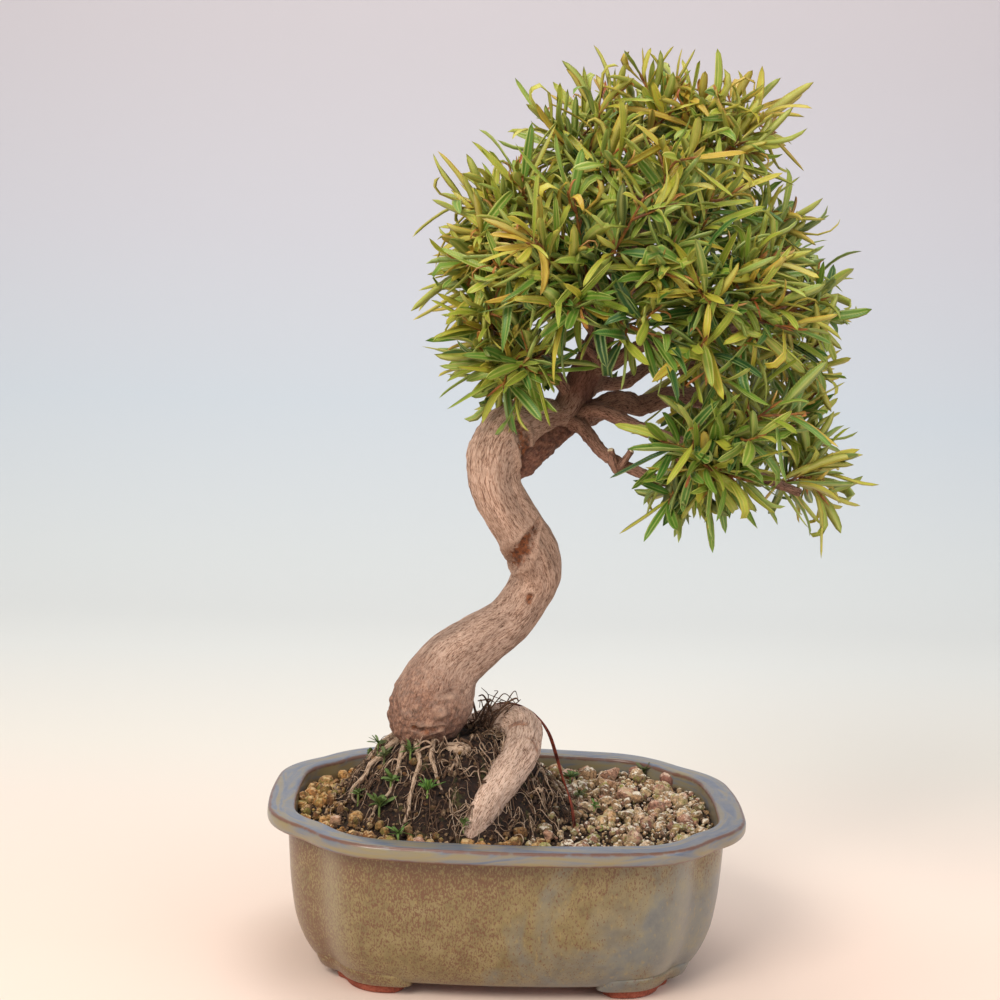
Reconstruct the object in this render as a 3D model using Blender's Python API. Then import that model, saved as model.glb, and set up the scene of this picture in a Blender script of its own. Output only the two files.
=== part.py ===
"""Willow leaf fig bonsai in a glazed four-lobed pot.

All sizes below are millimetres, turned to metres when a mesh is made. The tree is modelled
round the middle of the pot, long side along X, and the whole part is then moved so that its
box is centred on X = Y = 0 with the feet on Z = 0.
"""
import bmesh
import bpy
import numpy as np
from mathutils.bvhtree import BVHTree

MM = 0.001
GAP = 0.35
SEED = 41
FLAT_ANGLE = 0.01

# Pot: half sizes over the rim, height, and the two bowed boxes whose union is the outline
POT_HALF_LENGTH = 120.0
POT_HALF_WIDTH = 94.0
POT_HEIGHT = 82.0
LONG_LOBE_HALF = 106.0
SHORT_LOBE_HALF = 74.5
LONG_SIDE_BOW = 13.5
SHORT_SIDE_BOW = 9.5
CORNER_RADIUS = 45.0
NOTCH_SOFTNESS = 3.0
OUTLINE_POINTS = 40

# Pot wall, as distances in from the rim's outer edge
RIM_WIDTH = 13.8
LIP_HEIGHT = 6.8
WALL_INSET = 10.6
UNDERSIDE_Z = 6.5
FLOOR_Z = 13.0
INNER_WALL = [(FLOOR_Z, 31.0), (20.0, 24.0), (45.0, 18.5), (POT_HEIGHT - 1.2, RIM_WIDTH)]
FOOT_DIRECTION = 0.665
FOOT_OUTER_INSET = 27.4
FOOT_INNER_INSET = 38.0
FOOT_TAPER = 2.0
FOOT_HALF_ANGLE = 0.20
RAIL_HALF_ANGLE = 0.29
RAIL_LOW_Z = 4.6
RAIL_HIGH_Z = 12.0
DRAIN_HOLE_X = 48.0
DRAIN_HOLE_RADIUS = 8.0
WIRE_HOLE_X = 16.0
WIRE_HOLE_RADIUS = 2.2
SCREEN_HALF = 14.0
SCREEN_THICKNESS = 1.2

# Soil: level, the root-ball mound and the grain relief
SOIL_LEVEL = 74.0
SOIL_BASE_Z = 15.2
MOUND_CENTRE = (-28.0, -6.0)
MOUND_HEIGHT = 42.0
MOUND_REACH = (50.0, 44.0)
MOUND_STEEPNESS = 1.9
GRAIN_RELIEF = 1.5
SOIL_RINGS = 7
SOIL_CLEAR = 0.9
TRUNK_HOLE_GROW = 3.0
ARCH_HOLE_GROW = 0.8
HOLE_GROW = 0.6
HOLE_SPARE = 1.5

# Leaves
BLADE_LENGTH = (26.0, 41.0)
BLADE_WIDTH = (3.8, 6.0)
BLADE_KEEL = 1.0
BLADE_ROOT_HALF = 0.4
BLADE_ROOT_KEEL = 0.6
WIDEST = 0.42
BLADES_PER_SPRAY = 8
TWIG_RADIUS = 1.3

# Trunk centre line as (x, y, z, radius), from inside the root ball to the first fork
TRUNK = [
    (-44, -4, 90, 10), (-44, -5, 107, 12), (-43, -6, 119, 18), (-39, -6, 133, 20.3),
    (-31, -2, 149, 16.8), (-17, 4, 160, 14.3), (-2, 10, 170, 12.6), (7, 12, 182, 12.2),
    (12, 10, 195, 12.8), (8, 4, 208, 13.2), (0, -3, 221, 12.8), (-8, -8, 234, 12.8),
    (-12.5, -10, 246, 13.2), (-11, -8, 258, 14.2), (-4, -3, 268, 14), (8, 2, 273, 12),
    (22, 6, 276, 9.5), (29, 9, 290, 8.3), (35, 10, 306, 7.4), (41, 10, 322, 6.6), (48, 8, 342, 5.6),
    (50, 5, 362, 4.8), (54, 4, 383, 3.8), (50, 6, 405, 2.6),
]

# The pale arched root beside the trunk, from inside the trunk's base back down into the soil
ARCH_ROOT = [
    (-34, 18, 100, 8), (-19, 25, 107, 9), (-4, 17, 115, 9.5), (7, 1, 117, 9.6),
    (6, -14, 110, 9.8), (-1, -28, 101, 9.6), (-10, -41, 91, 9), (-17, -50, 81, 7.8), (-22, -57, 70, 6),
]

# The rough burr in the crook of the trunk's upper bend
BEND_BURR = [(-6, -9, 248, 6), (2, -8, 253, 7), (9, -6, 260, 7), (17, -1, 267, 6.5), (25, 4, 272, 5)]

# Limbs as centre lines of (x, y, z, radius); right_stub and cut_stub end in saw cuts
LIMBS = {
    "right_stub": [(20, 6, 275, 6.5), (34, 7, 277, 5.8), (48, 2, 285, 5.4), (60, 2, 283, 5), (75, -5, 289, 5),
                   (90, -8, 288, 4.7)],
    "right_low": [(32, 2, 277, 4.2), (40, -7, 280, 3.7), (58, -21, 273, 3.3), (75, -29, 268, 3.1),
                  (92, -33, 262, 2.8), (117, -37, 252, 2.4), (134, -38, 246, 1.9)],
    "low": [(24, 4, 274, 4.4), (31, -5, 271, 3.6), (42, -13, 259, 3.1), (62, -19, 250, 2.6), (80, -22, 245, 2)],
    "pale": [(31, 10, 298, 4.4), (44, 4, 303, 3.6), (59, -4, 313, 3.2), (76, -5, 311, 2.9), (94, -10, 321, 2.7),
             (115, -7, 327, 2.3), (131, -3, 341, 1.9)],
    "cut_stub": [(48, 8, 342, 4.2), (46, -1, 345, 3.7), (41, -9, 351, 3.6)],
    "upper_left": [(46, 8, 336, 4.2), (30, -2, 349, 3.6), (17, -3, 352, 3.2), (4, -10, 361, 2.8),
                   (-9, -9, 363, 2.4), (-20, -8, 369, 2)],
    "lower_left": [(27, 8, 284, 3.9), (17, 1, 296, 3.2), (8, -6, 307, 2.8), (-4, -6, 310, 2.5), (-18, -8, 318, 2)],
    "back_right": [(24, 8, 279, 4.8), (38, 24, 291, 4), (55, 37, 293, 3.5), (72, 47, 303, 3.1), (92, 50, 302, 2.6),
                   (112, 50, 307, 2)],
    "back_left": [(40, 11, 318, 4), (34, 28, 328, 3.3), (22, 33, 341, 2.8), (11, 39, 343, 2.4), (2, 40, 352, 2)],
    "front": [(36, 9, 308, 4), (36, -8, 317, 3.4), (28, -22, 327, 2.9), (31, -34, 336, 2.4), (26, -44, 342, 2)],
    "front_right": [(48, 7, 345, 4), (60, -9, 342, 3.3), (67, -24, 348, 2.8), (80, -34, 341, 2.4), (90, -44, 338, 2)],
    "right_high": [(47, 8, 338, 4), (62, 9, 347, 3.4), (79, 2, 346, 2.9), (96, 5, 356, 2.4), (112, 2, 358, 2)],
    "back_high": [(50, 6, 360, 3.6), (58, 21, 368, 3), (69, 31, 368, 2.6), (76, 42, 375, 2)],
    "top_right": [(53, 5, 374, 3.2), (66, 0, 385, 2.7), (71, 5, 398, 2.4), (84, 2, 408, 2)],
    "top_left": [(50, 5, 366, 3.2), (41, 0, 378, 2.7), (34, 5, 387, 2.4), (26, 2, 394, 2)],
}

# Where each leafy twig ends, chosen over the crown's outline, its front and its back
SPRAY_TIPS = [
    (65, -3, 438), (82, -6, 432), (104, 5, 433), (38, -8, 430), (18, 6, 412), (99, -16, 411),
    (35, -44, 400), (60, -50, 401), (86, -42, 390), (48, -64, 378), (19, -48, 381),
    (46, 38, 424), (78, 44, 420), (60, 64, 400), (102, 54, 392), (28, 52, 388),
    (-20, 2, 380), (-4, -24, 386), (-22, -22, 362), (-26, -10, 340), (-12, -42, 350), (3, -58, 358),
    (-18, -30, 327), (-8, 36, 371), (-18, 42, 338), (15, 62, 342),
    (118, 0, 377), (134, 4, 360), (144, 6, 333), (146, 0, 302), (145, -6, 275), (141, -22, 252),
    (106, -50, 356), (117, -56, 325), (114, -60, 288), (77, -66, 340), (82, -64, 302), (84, -52, 262),
    (104, -44, 254), (82, -28, 247), (136, 46, 348), (138, 52, 306), (126, 46, 264), (98, 72, 322),
    (96, 52, 268), (-14, -20, 299), (-2, -38, 302), (-10, 22, 308), (60, -62, 352), (62, -58, 318),
    (14, -54, 330),
]
TWIG_LENGTH = 42.0
TWIG_ROOM = 1.9
BRANCH_REACH = 4.0
LONG_BRANCH = 12.0

# Surface roots: compass angle in degrees from the trunk's base, length, radius at the start
SURFACE_ROOTS = [(196, 36, 1.5), (232, 40, 1.2), (258, 44, 1.4), (290, 36, 1.2), (160, 34, 1.5),
                 (122, 38, 1.3), (84, 42, 1.5), (38, 52, 1.4)]
ROOT_HUB = (-43.0, -5.0)
ROOT_START = 9.0

TIE_WIRE = [(-20, 38, 84), (-16, 37, 106), (-8, 34, 119), (2, 26, 123), (13, 15, 121), (20, 3, 115),
            (24, -9, 106), (27, -19, 97), (31, -28, 87), (34, -32, 70)]
TIE_WIRE_RADIUS = 0.8

WEED_RISE = 5.0

# Weeds: place in the soil, number of blades, blade length, blade width, blade rise
WEEDS = {
    "weed_tuft_middle": ((-40, -47), 7, 10.0, 1.8, 0.9),
    "weed_tuft_front": ((-53, -62), 6, 9.0, 1.6, 0.7),
    "weed_broad": ((-63, -44), 5, 10.0, 4.2, 0.9),
}


def material(name, colour, roughness, metallic=0.0):
    """A Principled material of one colour, given as linear red, green and blue."""
    made = bpy.data.materials.new(name)
    made.use_nodes = True
    shader = made.node_tree.nodes["Principled BSDF"]
    shader.inputs["Base Color"].default_value = (*colour, 1.0)
    shader.inputs["Roughness"].default_value = roughness
    shader.inputs["Metallic"].default_value = metallic
    return made


def new_object(name, points, faces, finish):
    """A mesh object from points in millimetres."""
    mesh = bpy.data.meshes.new(name)
    mesh.from_pydata((np.asarray(points) * MM).tolist(), [], faces)
    mesh.update()
    made = bpy.data.objects.new(name, mesh)
    bpy.context.scene.collection.objects.link(made)
    mesh.materials.append(finish)
    return made


def boolean(target, others, operation, solver="EXACT"):
    """Joins to or cuts from the target a list of objects, applies the result and removes them."""
    group = bpy.data.collections.new("operands")
    bpy.context.scene.collection.children.link(group)
    for other in others:
        group.objects.link(other)
    modifier = target.modifiers.new("join", "BOOLEAN")
    modifier.operation = operation
    modifier.operand_type = "COLLECTION"
    modifier.collection = group
    modifier.solver = solver
    depsgraph = bpy.context.evaluated_depsgraph_get()
    result = bpy.data.meshes.new_from_object(target.evaluated_get(depsgraph))
    target.modifiers.clear()
    target.data = result
    merge_flats(result)
    keep_main_body(result)
    for other in others:
        bpy.data.objects.remove(other)
    bpy.data.collections.remove(group)
    return target


def merge_flats(mesh):
    """Joins faces that a Boolean split in one plane, so that fewer triangles are left."""
    shape = bmesh.new()
    shape.from_mesh(mesh)
    bmesh.ops.dissolve_limit(shape, angle_limit=FLAT_ANGLE, verts=shape.verts, edges=shape.edges)
    shape.to_mesh(mesh)
    shape.free()


def keep_main_body(mesh):
    """Drops the loose scraps and sealed hollows that a Boolean may leave beside the main body."""
    shape = bmesh.new()
    shape.from_mesh(mesh)
    left = set(shape.verts)
    bodies = []
    while left:
        body = set()
        front = [next(iter(left))]
        while front:
            corner = front.pop()
            if corner in left:
                left.remove(corner)
                body.add(corner)
                front += [edge.other_vert(corner) for edge in corner.link_edges]
        bodies.append(body)
    bodies.sort(key=len)
    scraps = [corner for body in bodies[:-1] for corner in body]
    bmesh.ops.delete(shape, geom=scraps, context="VERTS")
    shape.to_mesh(mesh)
    shape.free()


def bowed_box(x, y, half_x, half_y, bow_x, bow_y):
    """Signed distance, roughly, to a rounded box whose sides bow outwards in the middle."""
    out_x = np.abs(x) - (half_x - bow_x * (y / half_y) ** 2) + CORNER_RADIUS
    out_y = np.abs(y) - (half_y - bow_y * (x / half_x) ** 2) + CORNER_RADIUS
    outside = np.hypot(np.maximum(out_x, 0), np.maximum(out_y, 0))
    return outside + np.minimum(np.maximum(out_x, out_y), 0) - CORNER_RADIUS


def pot_distance(x, y):
    """Distance out from the rim's edge: the union of a long and a short bowed box, notches eased."""
    long_lobe = bowed_box(x, y, LONG_LOBE_HALF, POT_HALF_WIDTH, 0.0, LONG_SIDE_BOW)
    short_lobe = bowed_box(x, y, POT_HALF_LENGTH, SHORT_LOBE_HALF, SHORT_SIDE_BOW, 0.0)
    ease = np.maximum(NOTCH_SOFTNESS - np.abs(long_lobe - short_lobe), 0) / NOTCH_SOFTNESS
    return np.minimum(long_lobe, short_lobe) - ease ** 2 * NOTCH_SOFTNESS / 4


def outline(inset, angles):
    """Points of the pot's plan at a distance in from the rim, found along rays by halving."""
    low = np.zeros(len(angles))
    high = np.full(len(angles), 2 * POT_HALF_LENGTH)
    for _ in range(40):
        middle = (low + high) / 2
        inside = pot_distance(middle * np.cos(angles), middle * np.sin(angles)) < -inset
        low = np.where(inside, middle, low)
        high = np.where(inside, high, middle)
    return np.stack([low * np.cos(angles), low * np.sin(angles)], 1)


def ring_angles(count):
    return np.linspace(0, 2 * np.pi, count, endpoint=False)


def lobe_angles(inset):
    """Directions of the outline's points, spread from each side's middle to its corner notches."""
    probe = np.radians(np.linspace(25.0, 60.0, 281))
    x, y = outline(inset, probe).T
    long_lobe = bowed_box(x, y, LONG_LOBE_HALF, POT_HALF_WIDTH, 0.0, LONG_SIDE_BOW)
    short_lobe = bowed_box(x, y, POT_HALF_LENGTH, SHORT_LOBE_HALF, SHORT_SIDE_BOW, 0.0)
    notch = probe[np.argmin(np.abs(long_lobe - short_lobe))]
    share = np.linspace(0, 1, OUTLINE_POINTS // 8 + 1) ** 0.8
    quarter = np.concatenate([notch * share, (np.pi / 2 - (np.pi / 2 - notch) * share)[-2::-1]])
    halves = [quarter[:-1], (np.pi - quarter[::-1])[:-1]]
    return np.concatenate(halves + [np.pi + half for half in halves])


def loft(rings, closed_ends=True):
    """Faces of a skin over rings with equal counts, in order, with flat or fan ends."""
    count = len(rings[0])
    points = np.concatenate(rings)
    faces = []
    for k in range(len(rings) - 1):
        for i in range(count):
            j = (i + 1) % count
            faces.append((k * count + i, k * count + j, (k + 1) * count + j, (k + 1) * count + i))
    if closed_ends:
        last = (len(rings) - 1) * count
        faces.append(tuple(reversed(range(count))))
        faces.append(tuple(range(last, last + count)))
    return points, faces


def level_ring(inset, z, angles=None):
    """A ring of the pot's plan at one height; without angles it has a point on every notch."""
    plan = outline(inset, lobe_angles(inset) if angles is None else angles)
    return np.column_stack([plan, np.full(len(plan), z)])


def inner_wall_inset(z):
    """Inset of the pot's inner face: a steep wall, then a turn to the floor, in straight stretches."""
    heights, insets = zip(*INNER_WALL)
    return float(np.interp(z, heights, insets))


def pot_profile():
    """(inset, height) of the pot from the middle of its underside, up outside and down inside."""
    lip_bottom = POT_HEIGHT - LIP_HEIGHT
    outside = [(30, UNDERSIDE_Z), (25, UNDERSIDE_Z + 2.5), (19.5, 17), (14.5, 31),
               (WALL_INSET, lip_bottom - 2.5), (9.0, lip_bottom - 0.6), (1.4, lip_bottom),
               (0.0, lip_bottom + 1.6), (0.0, POT_HEIGHT - 1.5), (1.5, POT_HEIGHT), (RIM_WIDTH - 1.2, POT_HEIGHT)]
    return outside + [(inset, z) for z, inset in reversed(INNER_WALL)]


def cylinder(name, x, y, low, high, radius, sides, finish):
    turn = ring_angles(sides)
    rings = [np.column_stack([x + radius * np.cos(turn), y + radius * np.sin(turn), np.full(sides, z)])
             for z in (low, high)]
    return new_object(name, *loft(rings), finish)


def corner_block(name, index, half_angle, low, high, finish):
    """A block along one corner's stretch of the outline between two (height, outer, inner inset) levels."""
    middle = [FOOT_DIRECTION, np.pi - FOOT_DIRECTION, np.pi + FOOT_DIRECTION, -FOOT_DIRECTION][index]
    turn = np.linspace(middle - half_angle, middle + half_angle, 6)
    rings = []
    for z, outer_inset, inner_inset in (low, high):
        outer = level_ring(outer_inset, z, turn)
        inner = level_ring(inner_inset, z, turn[::-1])
        rings.append(np.concatenate([outer, inner]))
    return new_object(name, *loft(rings), finish)


def feet(finish):
    """Four corner feet that narrow downwards, each under a wider rail that stands out from the wall."""
    made = []
    for index in range(4):
        made.append(corner_block("foot", index, FOOT_HALF_ANGLE,
                                 (0.0, FOOT_OUTER_INSET + FOOT_TAPER, FOOT_INNER_INSET),
                                 (UNDERSIDE_Z + 1.5, FOOT_OUTER_INSET, FOOT_INNER_INSET - 1.0), finish))
        made.append(corner_block("rail", index, RAIL_HALF_ANGLE, (RAIL_LOW_Z, FOOT_OUTER_INSET - 1.2, 33.0),
                                 (RAIL_HIGH_Z, 22.2, 30.0), finish))
    return made


def make_pot(finish):
    rings = [level_ring(inset, z) for inset, z in pot_profile()]
    pot = new_object("pot", *loft(rings), finish)
    boolean(pot, feet(finish), "UNION")
    drills = [cylinder("drill", x, 0.0, 0.0, FLOOR_Z + 5, DRAIN_HOLE_RADIUS, 16, finish)
              for x in (-DRAIN_HOLE_X, DRAIN_HOLE_X)]
    drills += [cylinder("drill", x, 0.0, 0.0, FLOOR_Z + 5, WIRE_HOLE_RADIUS, 8, finish)
               for x in (-WIRE_HOLE_X, WIRE_HOLE_X)]
    return boolean(pot, drills, "DIFFERENCE")


def make_screen(name, x, finish):
    """A plastic mesh screen on the floor over one drain hole: a square with a grid of openings."""
    low = FLOOR_Z + GAP
    high = low + SCREEN_THICKNESS
    square = np.array([(-1, -1), (1, -1), (1, 1), (-1, 1)]) * SCREEN_HALF + (x, 0.0)
    rings = [np.column_stack([square, np.full(4, z)]) for z in (low, high)]
    screen = new_object(name, *loft(rings), finish)
    bars = 2
    pitch = 2 * SCREEN_HALF / bars
    openings = []
    for i in range(bars):
        for j in range(bars):
            centre = (x - SCREEN_HALF + pitch * (i + 0.5), -SCREEN_HALF + pitch * (j + 0.5))
            hole = np.array([(-1, -1), (1, -1), (1, 1), (-1, 1)]) * pitch * 0.36 + centre
            rings = [np.column_stack([hole, np.full(4, z)]) for z in (low - 1, high + 1)]
            openings.append(new_object("opening", *loft(rings), finish))
    return boolean(screen, openings, "DIFFERENCE")


def ground(x, y):
    """Height of the soil before its grains: level, low waves and the root-ball mound."""
    away = ((x - MOUND_CENTRE[0]) / MOUND_REACH[0]) ** 2 + ((y - MOUND_CENTRE[1]) / MOUND_REACH[1]) ** 2
    waves = 1.2 * np.sin(x / 17.0 + 0.6) * np.cos(y / 14.0)
    return SOIL_LEVEL + waves + MOUND_HEIGHT * np.exp(-away ** MOUND_STEEPNESS)


def make_soil(cutters, finish):
    """Soil filling the pot to a granular surface, with plain holes where things stand in it."""
    draw = np.random.RandomState(SEED)
    rings = [level_ring(inner_wall_inset(z) + SOIL_CLEAR, z) for z in (SOIL_BASE_Z, 20.0, 45.0)]
    edge = level_ring(inner_wall_inset(SOIL_LEVEL) + SOIL_CLEAR, SOIL_LEVEL)[:, :2]
    for k in range(SOIL_RINGS):
        share = 1 - k / SOIL_RINGS
        plan = edge * share
        if k:
            shift = 0.28 * 100.0 / SOIL_RINGS * share
            plan = plan + draw.uniform(-shift, shift, plan.shape) * 0.9
        height = ground(plan[:, 0], plan[:, 1]) + draw.uniform(-GRAIN_RELIEF, GRAIN_RELIEF, len(plan))
        rings.append(np.column_stack([plan, height if k else np.full(len(plan), SOIL_LEVEL - 0.6)]))
    soil = new_object("soil", *loft(rings), finish)
    return boolean(soil, cutters, "DIFFERENCE")


def smooth_path(points, count):
    """A Catmull-Rom curve through rows of numbers, read at evenly spread steps."""
    points = np.asarray(points, float)
    padded = np.vstack([2 * points[0] - points[1], points, 2 * points[-1] - points[-2]])
    step = np.linspace(0, len(points) - 1, count)
    k = np.minimum(step.astype(int), len(points) - 2)
    t = (step - k)[:, None]
    a, b, c, d = padded[k], padded[k + 1], padded[k + 2], padded[k + 3]
    return 0.5 * (2 * b + (c - a) * t + (2 * a - 5 * b + 4 * c - d) * t ** 2 + (3 * b - a - 3 * c + d) * t ** 3)


def frames(path):
    """Directions along a path, and two cross directions that turn with it as little as they can."""
    along = np.gradient(path, axis=0)
    along /= np.linalg.norm(along, axis=1)[:, None]
    side = np.cross(along[0], (0.3, 0.9, 0.1))
    sides = []
    for direction in along:
        side = side - direction * np.dot(side, direction)
        side = side / np.linalg.norm(side)
        sides.append(side)
    sides = np.array(sides)
    return along, sides, np.cross(along, sides)


def tube(name, rows, sides, count, finish, grow=0.0, flutes=0.0):
    """A tube along rows of (x, y, z, radius); flutes is how deep its section is lobed."""
    rows = smooth_path(rows, count)
    path, radius = rows[:, :3], rows[:, 3] + grow
    _, side, up = frames(path)
    turn = ring_angles(sides)
    rings = []
    for k in range(count):
        lobed = radius[k] * (1 + flutes * np.cos(3 * turn + 0.35 * k))
        rings.append(path[k] + np.outer(lobed * np.cos(turn), side[k]) + np.outer(lobed * np.sin(turn), up[k]))
    return new_object(name, *loft(rings), finish)


def root_path(angle, length, radius, index):
    """A surface root: out from the trunk's base along the mound, wandering, then down into the soil."""
    draw = np.random.RandomState(SEED + 100 + index)
    sway = draw.uniform(-0.25, 0.25)
    rows = []
    for t in np.linspace(0, 1, 7):
        heading = np.radians(angle) + sway * np.sin(3.0 * t)
        reach = ROOT_START + length * t
        x = ROOT_HUB[0] + reach * np.cos(heading)
        y = ROOT_HUB[1] + reach * np.sin(heading)
        sink = 0.55 * radius - 6.5 * max(t - 0.8, 0) / 0.2
        rows.append((x, y, ground(x, y) + sink, radius * (1.15 - 0.6 * t)))
    return rows


def limb_samples():
    """Points along the limbs and the upper trunk from which branches may leave."""
    samples = [smooth_path(rows, 16)[5:-1] for name, rows in LIMBS.items() if name != "cut_stub"]
    samples.append(smooth_path(TRUNK[17:], 24)[4:-1])
    return np.vstack(samples)


def spray_line(tip, samples, shift):
    """A branch from the best limb point and the twig beyond it, as base, bend and tip points."""
    tip = np.asarray(tip, float) + shift
    heart = np.array([45.0, 0.0, 325.0])
    offset = tip - samples[:, :3]
    reach = np.linalg.norm(offset, axis=1)
    outward = (tip - heart) / np.linalg.norm(tip - heart)
    lean = (offset @ outward) / reach
    start = samples[np.argmin(reach * (1.8 - lean) + np.where(reach < 22, 60, 0))]
    reach = np.linalg.norm(tip - start[:3])
    split = max(1 - TWIG_LENGTH / reach, (start[3] + BRANCH_REACH) / reach)
    sag = np.array([0, 0, 0.10 * reach])
    curve = smooth_path([start[:3], start[:3] + (tip - start[:3]) * 0.5 - 0.5 * sag, tip], 41)
    cut = int(round(split * 40))
    return start, curve[:cut + 1], curve[cut:]


def branch_tube(name, start, line, finish):
    """The woody branch up to where the leafy twig begins; a long one has a ring in its middle."""
    thick = np.linspace(min(start[3] * 0.6, 2.0), TWIG_RADIUS + 0.1, len(line))
    rings = 3 if np.linalg.norm(line[-1] - line[0]) > LONG_BRANCH else 2
    return tube(name, np.column_stack([line, thick]), 4, rings, finish)


def twig_rows(line):
    """The twig's centre line, starting a hair beyond the branch's end face."""
    first = line[1] - line[0]
    line = line.copy()
    line[0] = line[0] + GAP * first / np.linalg.norm(first)
    thick = np.linspace(TWIG_RADIUS, 0.5 * TWIG_RADIUS, len(line))
    return np.column_stack([line, thick])


def blade_points(root, direction, length, width, droop, keel=BLADE_KEEL, grow=0.0):
    """A lance-shaped blade with a keeled underside: a narrow root, its widest section and a point."""
    flat = np.cross(direction, (0.0, 0.0, 1.0))
    flat = flat / max(np.linalg.norm(flat), 1e-6)
    over = np.cross(flat, direction)
    points = []
    for s, half, deep in ((0.0, BLADE_ROOT_HALF, BLADE_ROOT_KEEL), (WIDEST, width / 2, keel)):
        middle = root + direction * length * s - np.array([0, 0, droop * length * s * s])
        edge = flat * (half + grow)
        points += [middle + edge + over * grow, middle - over * (deep + grow), middle - edge + over * grow]
    points.append(root + direction * (length + grow) - np.array([0, 0, droop * length]))
    return np.array(points)


BLADE_FACES = [(0, 2, 1), (0, 1, 4), (0, 4, 3), (1, 2, 5), (1, 5, 4), (0, 5, 2), (0, 3, 5),
               (3, 4, 6), (4, 5, 6), (5, 3, 6)]


def tree_of(points, faces):
    return BVHTree.FromPolygons([tuple(p) for p in points], faces, epsilon=0.0)


def tree_of_object(made):
    points = np.array([v.co for v in made.data.vertices]) / MM
    return tree_of(points, [tuple(p.vertices) for p in made.data.polygons])


def blade_heading(line, t, turn, open_angle):
    """Where on the twig a leaf starts, and the way it points: open_angle away from the twig."""
    position = t * (len(line) - 1)
    k = min(int(position), len(line) - 2)
    root = line[k] + (line[k + 1] - line[k]) * (position - k)
    along = (line[k + 1] - line[k]) / np.linalg.norm(line[k + 1] - line[k])
    side = np.cross(along, (0.0, 0.0, 1.0))
    side = side / max(np.linalg.norm(side), 1e-6)
    up = np.cross(side, along)
    radial = side * np.cos(turn) + up * np.sin(turn)
    heading = along * np.cos(open_angle) + radial * np.sin(open_angle)
    heading = heading / np.linalg.norm(heading)
    if abs(heading[2]) > 0.96:
        heading = heading + np.array([0.3, 0.0, 0.0])
        heading = heading / np.linalg.norm(heading)
    return root, heading


def grow_spray(name, line, neighbours, draw, finish):
    """A twig and its blades joined in one solid; a blade that would meet a neighbour is turned or left out."""
    twig = tube(name, twig_rows(line), 4, 3, finish)
    blades = []
    for k in range(BLADES_PER_SPRAY):
        t = 0.14 + 0.84 * k / (BLADES_PER_SPRAY - 1)
        for attempt in range(14):
            turn = 2.4 * k + draw.uniform(-0.4, 0.4) + 0.45 * attempt
            open_angle = (1.05 - 0.55 * t) * draw.uniform(0.8, 1.2)
            length = draw.uniform(*BLADE_LENGTH) * (1.05 - 0.3 * t) * (0.8 if attempt > 7 else 1.0)
            width = draw.uniform(*BLADE_WIDTH)
            droop = draw.uniform(0.02, 0.22)
            root, heading = blade_heading(line, t, turn, open_angle)
            wide_berth = blade_points(root, heading, length, width, droop, grow=0.45)
            if not any(other.overlap(tree_of(wide_berth, BLADE_FACES)) for other in neighbours):
                points = blade_points(root, heading, length, width, droop)
                blades.append(new_object("blade", points, BLADE_FACES, finish))
                break
    return boolean(twig, blades, "UNION")


def make_wood(lines, finish):
    """The trunk with its limbs, branches, arched root and surface roots, joined as one solid."""
    trunk = tube("tree_wood", TRUNK, 10, 26, finish, flutes=0.04)
    parts = [tube("arch", ARCH_ROOT, 7, 10, finish), tube("burr", BEND_BURR, 6, 5, finish)]
    parts += [tube(name, rows, 5, len(rows), finish) for name, rows in LIMBS.items()]
    parts += [tube("root", root_path(*row, k), 4, 5, finish) for k, row in enumerate(SURFACE_ROOTS)]
    parts += [branch_tube("branch", start, branch, finish) for start, branch, _ in lines]
    return boolean(trunk, parts, "UNION")


def longer(rows, first=False):
    """The same rows with the last point, and on request the first, moved on by a little."""
    rows = np.array(rows, float)
    ends = [(-1, -2)] + ([(0, 1)] if first else [])
    for end, before in ends:
        step = rows[end, :3] - rows[before, :3]
        rows[end, :3] += HOLE_SPARE * step / np.linalg.norm(step)
    return rows


def make_soil_cutters(finish):
    """Shapes a little larger than all that stands in the soil."""
    cutters = [tube("hole", longer(TRUNK[:5], True), 9, 6, finish, grow=TRUNK_HOLE_GROW),
               tube("hole", longer(ARCH_ROOT), 7, 10, finish, grow=ARCH_HOLE_GROW)]
    cutters += [tube("hole", longer(root_path(*row, k)), 4, 5, finish, grow=HOLE_GROW)
                for k, row in enumerate(SURFACE_ROOTS)]
    cutters.append(tube("hole", longer(wire_rows(), True), 4, 18, finish, grow=HOLE_GROW))
    for place, _, _, _, _ in WEEDS.values():
        cutters.append(tube("hole", longer(weed_stem(place), True), 4, 3, finish, grow=HOLE_GROW))
    return cutters


def wire_rows():
    return [(*point, TIE_WIRE_RADIUS) for point in TIE_WIRE]


def weed_stem(place):
    """A short stem from 4 mm under the soil to clear of its grains."""
    x, y = place
    level = float(ground(x, y))
    return [(x, y, level - 4.0, 0.9), (x, y, level, 1.0), (x, y, level + WEED_RISE, 0.9)]


def make_weed(name, place, count, length, width, rise, finish):
    """A stem with blades spread round its head like a star."""
    stem = tube(name, weed_stem(place), 4, 3, finish)
    draw = np.random.RandomState(SEED + int(-place[0]))
    head = np.array([*place, float(ground(*place)) + WEED_RISE - 0.5])
    blades = []
    for k in range(count):
        turn = 2 * np.pi * k / count + draw.uniform(-0.2, 0.2)
        tilt = rise + draw.uniform(-0.15, 0.25)
        heading = np.array([np.cos(turn) * np.cos(tilt), np.sin(turn) * np.cos(tilt), np.sin(tilt)])
        points = blade_points(head, heading, length * draw.uniform(0.8, 1.1), width, 0.1, keel=0.7)
        blades.append(new_object("blade", points, BLADE_FACES, finish))
    return boolean(stem, blades, "UNION")


def room_between(points, cloud):
    """The least distance from points to the skins of a cloud of balls (x, y, z, radius)."""
    apart = np.linalg.norm(points[:, None] - cloud[None, :, :3], axis=2)
    return float((apart - cloud[None, :, 3]).min())


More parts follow.
